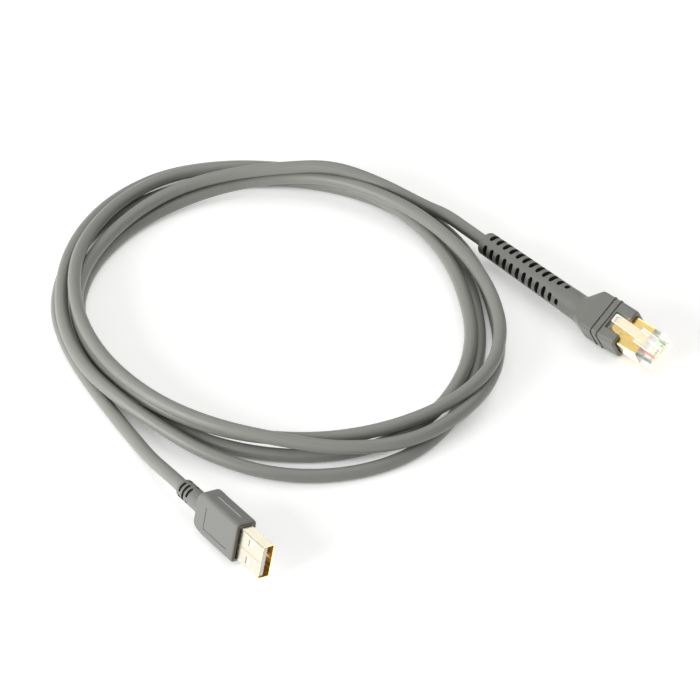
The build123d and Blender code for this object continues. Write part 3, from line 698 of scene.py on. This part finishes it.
class CABLE_OT_jacket(bpy.types.Operator):
    """Add the round cable, with its two leads and loose coil."""
    bl_idname = "cable.jacket"
    bl_label = "Cable"

    def execute(self, context):
        settings = context.scene.cable_settings
        diameter = in_mm(settings.diameter)
        modular_end = -in_mm(context.scene.modular_settings.relief_length)
        usb_end = USB_BOOT_BACK - in_mm(context.scene.usb_settings.relief_length)
        relief = modular_place @ relief_frame()
        exit_point = relief @ Vector((modular_end, 0, 0))
        route = [exit_point / MM, relief @ Vector((modular_end - LEAD_STRAIGHT, 0, 0)) / MM,
                 *MODULAR_LEAD_POINTS, *coil_points(diameter), *USB_LEAD_POINTS,
                 usb_place @ Vector((usb_end - LEAD_STRAIGHT, 0, 0)) / MM,
                 usb_place @ Vector((usb_end, 0, 0)) / MM]
        cable = bpy.data.objects.new("cable", cable_curve("cable", route, diameter))
        context.scene.collection.objects.link(cable)
        cable.data.materials.append(shared("cable_jacket", jacket_material, settings.colour))
        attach(cable, ASSEMBLY)
        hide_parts("cable_coil", "modular_lead", "usb_lead")
        return {"FINISHED"}


# ================================================================ modular boot and relief
def modular_section(half_w, half_h, corner):
    """A section of the modular boot or of the hollow in it."""
    return boxy_section((half_w, half_h), corner, BOOT_SIDES, 5, BOOT_TOPS)


def rib_profile(front, proud, groove):
    """A rib with a rounded back and a groove before it, from back to front: x and height."""
    return ((front - 1.05, 0.0), (front - 0.8, 0.06), (front - 0.66, proud * 0.8),
            (front - 0.5, proud), (front - 0.16, proud), (front - 0.04, proud * 0.75),
            (front, 0.0), (front + 0.03, -groove), (front + 0.34, -groove),
            (front + 0.42, -0.12), (front + 0.52, 0.0))


def relief_frame(turn=RELIEF_BEND, shift=RELIEF_SHIFT):
    """The long relief's own frame, turned off the boot's axis in the plane of the table."""
    level = Matrix.Rotation(radians(-MODULAR_ROLL), 4, "X")
    bend = Matrix.Rotation(radians(-turn), 4, "Z")
    return Matrix.Translation((NECK, *shift)) @ level @ bend @ level.inverted()


def cable_end_in_relief(material):
    """The cable inside the modular moulding, moved with the long relief that it runs through."""
    bm = merged_copy("modular_cable_end")
    inward = modular_place.inverted()
    follow = relief_frame() @ relief_frame(CAD_BEND, (0, 0)).inverted()
    for vert in bm.verts:
        point = inward @ vert.co
        share = min(1.0, max(0.0, (CAVITY_BACK - point.x) / (CAVITY_BACK - NECK)))
        vert.co = point.lerp(follow @ point, share)
    return add_piece("cable_end", bm, modular_place, material, ["modular_cable_end"])


def modular_boot_rings(size, neck):
    """Sections over the boot, from the relief's neck by its shoulder and ribs to its front."""
    half = (in_mm(size.boot_width) / 2, in_mm(size.boot_height) / 2)
    corner = in_mm(size.boot_corner)
    body = modular_section(*half, corner)
    rings = [ring_at(x, between(neck, body, share)) for x, share in SHOULDER]
    for rib in RIBS:
        for x, proud in rib_profile(rib, in_mm(size.rib_proud), in_mm(size.groove_depth)):
            section = modular_section(half[0] + proud, half[1] + proud, corner + proud)
            rings.append(ring_at(x, section))
    rings.append(ring_at(NOTCH_BACK, body))
    for behind, share in BOOT_ROUNDING:
        inset = share * BOOT_RIM
        section = modular_section(half[0] - inset, half[1] - inset, FRONT_CORNER)
        rings.append(ring_at(BOOT_FRONT - behind * BOOT_RIM, section))
    return rings


def modular_hollow_rings(bore):
    """Sections back through the boot's mouth and cavity to the cable's bore."""
    mouth = modular_section(SHIELD_HALF[0] + MOUTH_GAP, SHIELD_HALF[1] + MOUTH_GAP, MOUTH_CORNER)
    hollow = modular_section(SHIELD_HALF[0] + FIT, SHIELD_HALF[1] + FIT, SLEEVE_CORNER)
    rings = [ring_at(x, mouth) for x in (BOOT_FRONT, MOUTH_BACK)]
    rings += [ring_at(x, hollow) for x in (MOUTH_BACK, NOTCH_BACK, CAVITY_BACK)]
    return rings + [round_ring(CAVITY_BACK, bore)]


def modular_rings(size, bore):
    """Sections of the modular moulding: out along its skin, then back through its hollow."""
    turn = relief_frame()
    length = in_mm(size.relief_length)
    radii = (in_mm(size.relief_tip), in_mm(size.relief_root))
    slots = (SLOT_START, size.slots, in_mm(size.slot_pitch), in_mm(size.slot_width))
    rings = relief_rings(bore, -length, length, radii, RELIEF_LIP, slots, turn)
    for along, flare in RELIEF_FLARE:
        rings.append(round_ring(along, radii[1] + flare, turn))
    neck = [(y + RELIEF_SHIFT[0], z + RELIEF_SHIFT[1]) for y, z in round_section(radii[1])]
    rings += modular_boot_rings(size, neck)
    rings += modular_hollow_rings(bore)
    return rings + [round_ring(BORE_END, bore, turn)]


def cut_notch(bm):
    """Open the top of the boot's front for the latch's tab, down to the hollow."""
    gone = []
    for face in bm.faces:
        middle = face.calc_center_median()
        if middle.x > NOTCH_BACK and abs(middle.y) < NOTCH_HALF and middle.z > 0:
            gone.append(face)
    bmesh.ops.delete(bm, geom=gone, context="FACES")
    loose = [edge for edge in bm.edges if edge.is_wire]
    bmesh.ops.delete(bm, geom=loose, context="EDGES")
    for side in (-1, 1):
        wall = [edge for edge in bm.edges if edge.is_boundary
                and all(abs(vert.co.y - side * NOTCH_HALF) < CLOSE for vert in edge.verts)]
        bmesh.ops.contextual_create(bm, geom=wall)
    rest = [edge for edge in bm.edges if edge.is_boundary]
    bmesh.ops.contextual_create(bm, geom=rest)
    bmesh.ops.recalc_face_normals(bm, faces=bm.faces[:])
    rim = []
    for edge in bm.edges:
        a, b = (vert.co for vert in edge.verts)
        on_side = abs(abs(a.y) - NOTCH_HALF) < CLOSE and abs(a.y - b.y) < CLOSE
        on_back = max(abs(a.x - NOTCH_BACK), abs(b.x - NOTCH_BACK)) < CLOSE
        inside = max(abs(a.y), abs(b.y)) < NOTCH_HALF + CLOSE
        front = min(a.x, b.x) >= NOTCH_BACK - CLOSE
        high = min(a.z, b.z) > SHIELD_HALF[1] + MOUTH_GAP + NOTCH_EDGE / 2
        bent = edge.calc_face_angle() > radians(RIM_ABOVE)
        if front and high and bent and (on_side or (on_back and inside)):
            rim.append(edge)
    soften(bm, rim, NOTCH_EDGE)


def slot_pockets(bm, back, pick):
    """Faces of a relief's skin, gathered slot by slot.

    back takes a point to the relief's own frame. pick gives a face's slot from its place
    along the axis and its turn round it in degrees, or None."""
    pockets = {}
    for face in bm.faces:
        centre = back @ face.calc_center_median()
        if hypot(centre.y, centre.z) < SKIN_R:
            continue
        slot = pick(centre.x, degrees(atan2(centre.z, centre.y)) % 360)
        if slot is not None:
            pockets.setdefault(slot, []).append(face)
    return pockets


def round_ends(faces, back):
    """Draw the last corners of a pocket in towards its middle line, so that it ends round."""
    verts = list({vert for face in faces for vert in face.verts})
    places = [back @ vert.co for vert in verts]
    middle = sum((place.x for place in places)) / len(places)
    centre = sum(places, Vector()) / len(places)
    aim = atan2(centre.z, centre.y)
    turns = [abs((atan2(place.z, place.y) - aim + pi) % (2 * pi) - pi) for place in places]
    step = 2 * pi / POINTS
    forth = back.inverted()
    for vert, place, turn in zip(verts, places, turns):
        steps_in = round((max(turns) - turn) / step)
        if steps_in < len(END_SHAPE):
            place.x = middle + (place.x - middle) * END_SHAPE[steps_in]
            vert.co = forth @ place


def cut_slots(bm, pockets, back, depth):
    """Each pocket's faces sunk by depth(slot), with rounded ends and the recess material, which
    paints them dark as shade.
    """
    for slot, faces in pockets.items():
        round_ends(faces, back)
        walls = sink(bm, faces, depth(slot), SLOT_SLOPE)
        for face in [*faces, *walls]:
            face.material_index = RECESS_SHADE_SLOT


def cut_modular_slots(bm, size):
    """Four rows of slots round the long relief; the last two slots of a row are shorter."""
    length = in_mm(size.relief_length)
    pitch = in_mm(size.slot_pitch)
    width = in_mm(size.slot_width)
    step = 360 / POINTS

    def pick(along, turn):
        distance = along + length - SLOT_START
        index = round(distance / pitch)
        if not 0 <= index < size.slots or abs(distance - index * pitch) > width / 2:
            return None
        segments = SLOT_SEGMENTS[max(0, index - size.slots + len(SLOT_SEGMENTS))]
        turn = (turn - SLOT_TURN * step) % 360
        quarter = int(turn // 90)
        return (index, quarter) if abs(turn - quarter * 90 - 45) < segments * step / 2 else None

    def depth(slot):
        share = (SLOT_START + slot[0] * pitch) / length
        skin = in_mm(size.relief_tip) + in_mm(size.relief_root - size.relief_tip) * share
        return skin - SLOT_FLOOR_R

    back = relief_frame().inverted()
    cut_slots(bm, slot_pockets(bm, back, pick), back, depth)


class CABLE_OT_modular_moulding(bpy.types.Operator):
    """Add the modular plug's boot and its long slotted strain relief, one moulding."""
    bl_idname = "cable.modular_moulding"
    bl_label = "Modular Boot and Relief"

    def execute(self, context):
        size = context.scene.modular_settings
        bore = in_mm(context.scene.cable_settings.diameter) / 2 + FIT
        bm = loft(modular_rings(size, bore))
        cut_notch(bm)
        cut_modular_slots(bm, size)
        material = moulding_material("modular_moulding", size.colour)
        boot = add_piece("modular_boot", bm, modular_place, material,
                         ["modular_overmould"])
        # painted shade: a near-black copy of the moulding for the slots' insides
        add_finishes(boot, moulding_material("modular_slots", RECESS_SHADE))
        return {"FINISHED"}


# ================================================================ USB boot and relief
def usb_section(half_w, half_h, corner, crest=0.0):
    """A section of the USB boot or of the hollow in it; its top points fit a narrow one."""
    fit = min(1.0, (half_w - corner) / USB_TOPS[0] * 0.9)
    tops = [top * fit for top in USB_TOPS]
    return boxy_section((half_w, half_h), corner, USB_SIDES, 5, tops, crest)


def usb_boot_rings(size):
    """Sections over the USB boot, from its back by its finger panels to its front."""
    half = (in_mm(size.boot_width) / 2, in_mm(size.boot_height) / 2)
    corner = in_mm(size.boot_corner)
    rings = []
    for behind, inset in USB_PLAN:
        rise = max(0.0, 1 - behind / USB_EDGE)
        high = half[1] - USB_EDGE + USB_EDGE * sqrt(1 - rise ** 2)
        lean = USB_LEAN * min(1.0, behind) * max(0.0, 1 - behind / USB_LEAN_END)
        section = usb_section(half[0] - inset, high, corner)
        rings.append(ring_at(USB_BOOT_BACK + behind, [(y + lean, z) for y, z in section]))
    for x in (USB_PANEL_BACK, USB_PANEL_BACK + PANEL_LINE, USB_PANEL_END):
        rings.append(ring_at(x, usb_section(*half, corner, PARTING)))
    for step in range(7):
        angle = pi / 2 * step / 6
        inset = USB_FACE_RIM * (1 - cos(angle))
        section = usb_section(half[0] - inset, half[1] - inset, corner)
        rings.append(ring_at(USB_BOOT_FRONT - USB_FACE_RIM * (1 - sin(angle)), section))
    return rings


def usb_hollow_rings(bore):
    """Sections back through the boot's mouth, cavity and crimp room to the cable's bore."""
    mouth = usb_section(*(half + USB_MOUTH_GAP for half in USB_CAVITY_HALF), USB_MOUTH_CORNER)
    hollow = usb_section(*USB_CAVITY_HALF, USB_CAVITY_CORNER)
    rings = [ring_at(USB_BOOT_FRONT, mouth)]
    rings += [ring_at(x, hollow) for x in (USB_BOOT_FRONT - USB_MOUTH_DEPTH, USB_CAVITY_BACK)]
    rings += [round_ring(x, USB_CRIMP_R) for x in (USB_CAVITY_BACK, USB_CRIMP_BACK)]
    return rings + [round_ring(USB_CRIMP_BACK, bore)]


def usb_rings(size, bore):
    """Sections of the USB moulding: out along its skin, then back through its hollow."""
    length = in_mm(size.relief_length)
    radius = in_mm(size.relief_radius)
    slots = (USB_SLOT_START, len(USB_SLOTS), in_mm(size.slot_pitch), in_mm(size.slot_width))
    rings = relief_rings(bore, USB_BOOT_BACK - length, length, (radius, radius), USB_LIP, slots)
    for along, flare in USB_FLARE:
        rings.append(round_ring(USB_BOOT_BACK + along, radius + flare))
    return rings + usb_boot_rings(size) + usb_hollow_rings(bore)


def cut_usb_slots(bm, size):
    """Three rings of slots; the middle ring's two are longer."""
    start = USB_BOOT_BACK - in_mm(size.relief_length) + USB_SLOT_START
    pitch = in_mm(size.slot_pitch)
    step = 360 / POINTS

    def pick(along, turn):
        index = round((along - start) / pitch)
        near = abs(along - start - index * pitch) < in_mm(size.slot_width) / 2
        if not near or not 0 <= index < len(USB_SLOTS):
            return None
        segments, middles = USB_SLOTS[index]
        for middle in middles:
            apart = (turn / step - middle + POINTS / 2) % POINTS - POINTS / 2
            if abs(apart) < segments / 2:
                return (index, middle)
        return None

    back = Matrix.Identity(4)
    cut_slots(bm, slot_pockets(bm, back, pick), back, lambda slot: USB_SLOT_DEPTH)


def cut_panel_lines(bm, top):
    """A thin line along the back and the lower edge of the finger panel on each flat top."""
    for side in (-1, 1):
        line = []
        for face in bm.faces:
            middle = face.calc_center_median()
            on_top = middle.z * side > top - PANEL_BAND
            if not on_top or not USB_PANEL_BACK < middle.x < USB_PANEL_END:
                continue
            along = -USB_TOPS[0] < middle.y < -USB_TOPS[1]
            across = middle.x < USB_PANEL_BACK + PANEL_LINE and -USB_TOPS[0] < middle.y < USB_TOPS[1]
            if along or across:
                line.append(face)
        sink(bm, line, PANEL_DEPTH, PANEL_SLOPE)


def give_usb_finishes(bm, half, corner):
    """The parting line's ridge gets a painted highlight, and the boot's front painted shade, each in
    a material slot of its own.
    """
    ridge_half = USB_SIDES[1] * (half[1] - corner)
    for face in bm.faces:
        middle = face.calc_center_median()
        # painted highlight: the ridge's faces take the pale parting colour
        on_ridge = abs(middle.z) < ridge_half and abs(middle.y) > half[0]
        if on_ridge and USB_PANEL_BACK + PANEL_LINE < middle.x < USB_PANEL_END:
            face.material_index = PARTING_HIGHLIGHT_SLOT
        outside = max(abs(middle.y) - USB_CAVITY_HALF[0], abs(middle.z) - USB_CAVITY_HALF[1])
        # painted shade: faces at the boot's front, outside the hollow, take the dark brown front
        # colour
        if middle.x > USB_BOOT_FRONT - USB_FRONT_BAND and outside > 0:
            face.material_index = FRONT_SHADE_SLOT


class CABLE_OT_usb_moulding(bpy.types.Operator):
    """Add the USB plug's boot and its short slotted strain relief, one moulding."""
    bl_idname = "cable.usb_moulding"
    bl_label = "USB Boot and Relief"

    def execute(self, context):
        size = context.scene.usb_settings
        bore = in_mm(context.scene.cable_settings.diameter) / 2 + FIT
        half = (in_mm(size.boot_width) / 2, in_mm(size.boot_height) / 2)
        bm = loft(usb_rings(size, bore))
        cut_usb_slots(bm, size)
        cut_panel_lines(bm, half[1])
        give_usb_finishes(bm, half, in_mm(size.boot_corner))
        material = moulding_material("usb_moulding", size.colour)
        boot = add_piece("usb_boot", bm, usb_place, material, ["usb_overmould"])
        # painted shade: a near-black copy of the moulding for the slots' insides
        add_finishes(boot, moulding_material("usb_slots", RECESS_SHADE),
                     # painted highlight: a pale copy of the moulding on the parting line's ridge
                     moulding_material("usb_parting_line_highlight", PARTING_HIGHLIGHT),
                     # painted shade and painted reflection: a dark brown copy of the moulding for
                     # the boot's front
                     moulding_material("usb_front_face_shade", FRONT_FACE_SHADE))
        return {"FINISHED"}


# ================================================================ pieces that keep their CAD shape
def direction_in(place, axis):
    """One of a plug's own directions, in the row frame."""
    return place.to_3x3().normalized() @ Vector(axis)


def give_shell_finishes(shell):
    """The USB shell's inside, its windows' edges and its wide faces get slots of their own, painted
    as shade: deeper gold inside, dark window edges, dimmer plating on the wide faces.
    """
    inward = usb_place.inverted()
    ahead = direction_in(usb_place, (1, 0, 0))
    wide = direction_in(usb_place, (0, 0, 1))
    for face in shell.data.polygons:
        centre = inward @ face.center
        inside = abs(centre.y) < SHELL_INSIDE[0] and abs(centre.z) < SHELL_INSIDE[1]
        window = WINDOWS[0] < centre.x < WINDOWS[1] and abs(centre.y) < WINDOW_REACH
        # painted shade: the windows' forward-facing edges take a dark brown
        if window and face.normal.dot(ahead) > SQUARE_TO:
            face.material_index = WINDOW_SHADE_SLOT
        # painted shade: the shell's inside takes the deeper gold
        elif inside:
            face.material_index = INSIDE_SHADE_SLOT
        # painted shade: faces square to the wide direction take the dimmer plating
        elif abs(face.normal.dot(wide)) > SQUARE_TO:
            face.material_index = WIDE_SHADE_SLOT


class CABLE_OT_modular_plug(bpy.types.Operator):
    """Add the clear housing with its latch, wire comb, gold sleeve and blades."""
    bl_idname = "cable.modular_plug"
    bl_label = "Modular Plug"

    def execute(self, context):
        finish = context.scene.finish_settings
        gold = shared("gold_plating", gold_material, finish.gold)
        pale_gold = shared("pale_gold_plating", gold_material, finish.pale_gold)
        clear = clear_material("clear_plastic", finish.clear, 0.86)
        latch = clear_material("clear_latch", finish.clear_latch, 0.8)
        # painted highlight: a nearly opaque white for the latch's rounded edges
        edge = clear_material("clear_edge_highlight", CLEAR_EDGE_HIGHLIGHT, 0.15)
        softened_node("modular_housing", "modular_plug_body", clear, 0.12)
        arm = softened_node("modular_latch", "latch", latch, 0.25, body="latch", edge=edge)
        add_finishes(arm, clear)
        inward = modular_place.inverted()
        for face in arm.data.polygons:
            if (inward @ face.center).x > LATCH_SHOULDER:
                face.material_index = TIP_SLOT
        softened_node("wire_guide", "wire_comb", clear, 0.08)
        sleeve = softened_node("shield_sleeve", "gold_sleeve", gold, 0.06)
        # painted reflection: the paler gold goes on the sleeve's sides, as if mirroring the white
        # floor
        add_finishes(sleeve, pale_gold)
        side = direction_in(modular_place, (0, 1, 0))
        for face in sleeve.data.polygons:
            if abs(face.normal.dot(side)) > SQUARE_TO:
                face.material_index = SIDE_SLOT
        softened_node("contact_blades", "blades", gold, 0.05)
        return {"FINISHED"}


class CABLE_OT_usb_plug(bpy.types.Operator):
    """Add the USB plug's shell, contact strips, tongue and rear can."""
    bl_idname = "cable.usb_plug"
    bl_label = "USB Plug"

    def execute(self, context):
        finish = context.scene.finish_settings
        gold = shared("gold_plating", gold_material, finish.gold)
        pale_gold = shared("pale_gold_plating", gold_material, finish.pale_gold)
        shell = softened_node("usb_shell", "usb_metal_shell", pale_gold, 0.07)
        # painted shade: the deeper gold inside the shell, and the dark window edges
        add_finishes(shell, gold, plain_material("window_edge_shade", WINDOW_EDGE_SHADE, 0.5),
                     # painted shade: a dimmer copy of the plating for the wide faces
                     gold_material("wide_face_shaded_plating", WIDE_FACE_SHADE))
        give_shell_finishes(shell)
        softened_node("usb_contacts", "usb_contact_strips", gold, 0.05)
        white = plain_material("white_plastic", finish.white, 0.35)
        softened_node("usb_insulator", "usb_tongue", white, 0.08)
        steel = shared("tin_plating", tinned_material, finish.steel)
        softened_node("usb_rear_can", "usb_can", steel, 0.08)
        return {"FINISHED"}


class CABLE_OT_inner_parts(bpy.types.Operator):
    """Add the crimp ring and the cable's end, and finish the wires and the inner moulds."""
    bl_idname = "cable.inner_parts"
    bl_label = "Wires and Inner Parts"

    def execute(self, context):
        steel = shared("tin_plating", tinned_material, context.scene.finish_settings.steel)
        softened_node("crimp_ferrule", "crimp_ring", steel, 0.08)
        jacket = shared("cable_jacket", jacket_material, context.scene.cable_settings.colour)
        cable_end_in_relief(jacket)
        copper = plain_material("tinned_copper", (0.7, 0.68, 0.64), 0.28, 1.0)
        finishes = {
            "modular_inner_mould": plain_material("natural_moulding", (0.7, 0.7, 0.66), 0.4),
            "usb_inner_mould": plain_material("dark_moulding", (0.03, 0.03, 0.03), 0.5),
            "modular_drain_wire": copper,
            "usb_drain_wire": copper,
            "usb_solder_joints": plain_material("solder", (0.6, 0.6, 0.6), 0.32, 1.0),
            "usb_cable_end": jacket,
        }
        for name, colour in INSULATION.items():
            wire = plain_material("insulation_" + name, colour, 0.25)
            finishes["modular_wire_" + name] = wire
            finishes["usb_wire_" + name] = wire
        for node, material in finishes.items():
            shape = frame["nodes"][node]
            shape.data.materials.clear()
            shape.data.materials.append(material)
        return {"FINISHED"}


# ================================================================ stage
FLOOR_HALF = 4.0                 # metres, as are the places of the lights and the camera
KEY_LIGHT = ((-0.1, 0.35, 0.9), 0.9)             # place from the object's middle, and size
FRONT_LIGHT = ((-0.2, -0.95, 0.32), 0.6)
CAMERA_PLACE = (0.46295, -0.47868, 0.59)


def seen_ray(tree, rays):
    """1 for rays from the camera, off metal and through glass, 0 for all other light."""
    value = rays.outputs["Is Camera Ray"]
    for other in ("Is Glossy Ray", "Is Transmission Ray"):
        value = combined(tree, "MAXIMUM", value, rays.outputs[other])
    return value


def floor_material():
    """A pale floor that metal and glass see as white, and the camera as nearly white.

    What the camera sees glows less where something stands close over the floor, as a painted shadow."""
    material, shader = new_material("pale_floor", Roughness=0.9, Specular_IOR_Level=0.0,
                                    Emission_Color=(1.0, 1.0, 1.0, 1.0))
    tree = material.node_tree
    rays = tree.nodes.new("ShaderNodeLightPath")
    camera = rays.outputs["Is Camera Ray"]
    colour = blended(tree, camera, rgba(FLOOR_LIT), rgba(FLOOR_SEEN))
    tree.links.new(colour, shader.inputs["Base Color"])
    glow = spread(tree, camera, (0.0, 1.0), (1.0, 0.45))
    lift = combined(tree, "MULTIPLY", seen_ray(tree, rays), glow.outputs["Result"])
    # painted shadow: the floor's glow dims by ambient occlusion near the object
    hollow = tree.nodes.new("ShaderNodeAmbientOcclusion")
    hollow.samples = 8
    hollow.inputs["Distance"].default_value = 0.008
    shade = spread(tree, hollow.outputs["AO"], (0.03, 0.36), (0.0, 1.0))
    dim = combined(tree, "MULTIPLY", lift, shade.outputs["Result"])
    tree.links.new(dim, shader.inputs["Emission Strength"])
    return material


def light_world(strength):
    """Even light all round; metal and glass see it white, a little darker overhead."""
    world = bpy.data.worlds.new("studio")
    world.use_nodes = True
    tree = world.node_tree
    background = tree.nodes["Background"]
    background.inputs["Color"].default_value = (1.0, 1.0, 1.0, 1.0)
    rays = tree.nodes.new("ShaderNodeLightPath")
    direction = tree.nodes.new("ShaderNodeTexCoord")
    height = tree.nodes.new("ShaderNodeSeparateXYZ")
    tree.links.new(direction.outputs["Generated"], height.inputs["Vector"])
    fade = spread(tree, height.outputs["Z"], (0.3, 0.95), (1.0, 0.65))
    span = spread(tree, seen_ray(tree, rays), (0.0, 1.0), (strength, 1.0))
    tree.links.new(fade.outputs["Result"], span.inputs["To Max"])
    tree.links.new(span.outputs["Result"], background.inputs["Strength"])
    bpy.context.scene.world = world


def soft_light(name, offset, size, power):
    """A large square light that faces the object's middle, offset across and up from it."""
    middle = (cad_box[0] + cad_box[1]) / 2
    place = Vector((middle.x + offset[0], middle.y + offset[1], offset[2]))
    lamp = bpy.data.lights.new(name, "AREA")
    lamp.size = size
    lamp.energy = power
    light = bpy.data.objects.new(name, lamp)
    light.location = place
    light.rotation_euler = (middle - place).to_track_quat("-Z", "Y").to_euler()
    bpy.context.scene.collection.objects.link(light)


class CABLE_OT_stage(bpy.types.Operator):
    """Add the floor, the lights and the camera."""
    bl_idname = "cable.stage"
    bl_label = "Stage"

    def execute(self, context):
        stage = context.scene.stage_settings
        bm = bmesh.new()
        bmesh.ops.create_grid(bm, x_segments=1, y_segments=1, size=FLOOR_HALF)
        mesh = bpy.data.meshes.new("floor")
        bm.to_mesh(mesh)
        bm.free()
        mesh.materials.append(floor_material())
        floor = bpy.data.objects.new("floor", mesh)
        context.scene.collection.objects.link(floor)
        light_world(stage.fill_strength)
        soft_light("key", *KEY_LIGHT, stage.key_power)
        soft_light("front", *FRONT_LIGHT, stage.front_power)
        camera = bpy.data.objects.new("camera", bpy.data.cameras.new("camera"))
        camera.data.lens = stage.lens
        camera.data.sensor_width = 36.0
        camera.data.clip_start = 0.01
        level = cos(stage.pitch)
        aim = Vector((level * cos(stage.heading), level * sin(stage.heading), -sin(stage.pitch)))
        camera.rotation_euler = aim.to_track_quat("-Z", "Y").to_euler()
        camera.location = CAMERA_PLACE
        context.scene.collection.objects.link(camera)
        context.scene.camera = camera
        context.scene.view_settings.view_transform = "Standard"
        return {"FINISHED"}


# ================================================================ panel and registration
class CABLE_PT_sidebar(bpy.types.Panel):
    """The cable's settings and its build buttons."""
    bl_idname = "CABLE_PT_sidebar"
    bl_label = "Scanner Cable"
    bl_space_type = "VIEW_3D"
    bl_region_type = "UI"
    bl_category = "Cable"

    def draw(self, context):
        for group in SETTINGS:
            box = self.layout.box()
            settings = getattr(context.scene, group)
            for name in SETTINGS[group].__annotations__:
                box.prop(settings, name)
        for operator in OPERATORS:
            self.layout.operator(operator.bl_idname)


SETTINGS = {
    "cable_settings": CableSettings,
    "modular_settings": ModularSettings,
    "usb_settings": UsbSettings,
    "finish_settings": FinishSettings,
    "stage_settings": StageSettings,
}
OPERATORS = (CABLE_OT_jacket, CABLE_OT_modular_moulding, CABLE_OT_usb_moulding,
             CABLE_OT_modular_plug, CABLE_OT_usb_plug, CABLE_OT_inner_parts, CABLE_OT_stage)


def register():
    """Add the settings to the scene, then the operators and the panel."""
    for name, settings in SETTINGS.items():
        bpy.utils.register_class(settings)
        setattr(bpy.types.Scene, name, PointerProperty(type=settings))
    for cls in (*OPERATORS, CABLE_PT_sidebar):
        bpy.utils.register_class(cls)


def unregister():
    """Take away what register adds."""
    for cls in (CABLE_PT_sidebar, *reversed(OPERATORS)):
        bpy.utils.unregister_class(cls)
    for name, settings in reversed(SETTINGS.items()):
        delattr(bpy.types.Scene, name)
        bpy.utils.unregister_class(settings)


def main():
    """Build every piece in order."""
    register()
    bpy.ops.cable.jacket()
    bpy.ops.cable.modular_moulding()
    bpy.ops.cable.usb_moulding()
    bpy.ops.cable.modular_plug()
    bpy.ops.cable.usb_plug()
    bpy.ops.cable.inner_parts()
    bpy.ops.cable.stage()


if __name__ == "__main__":
    main()
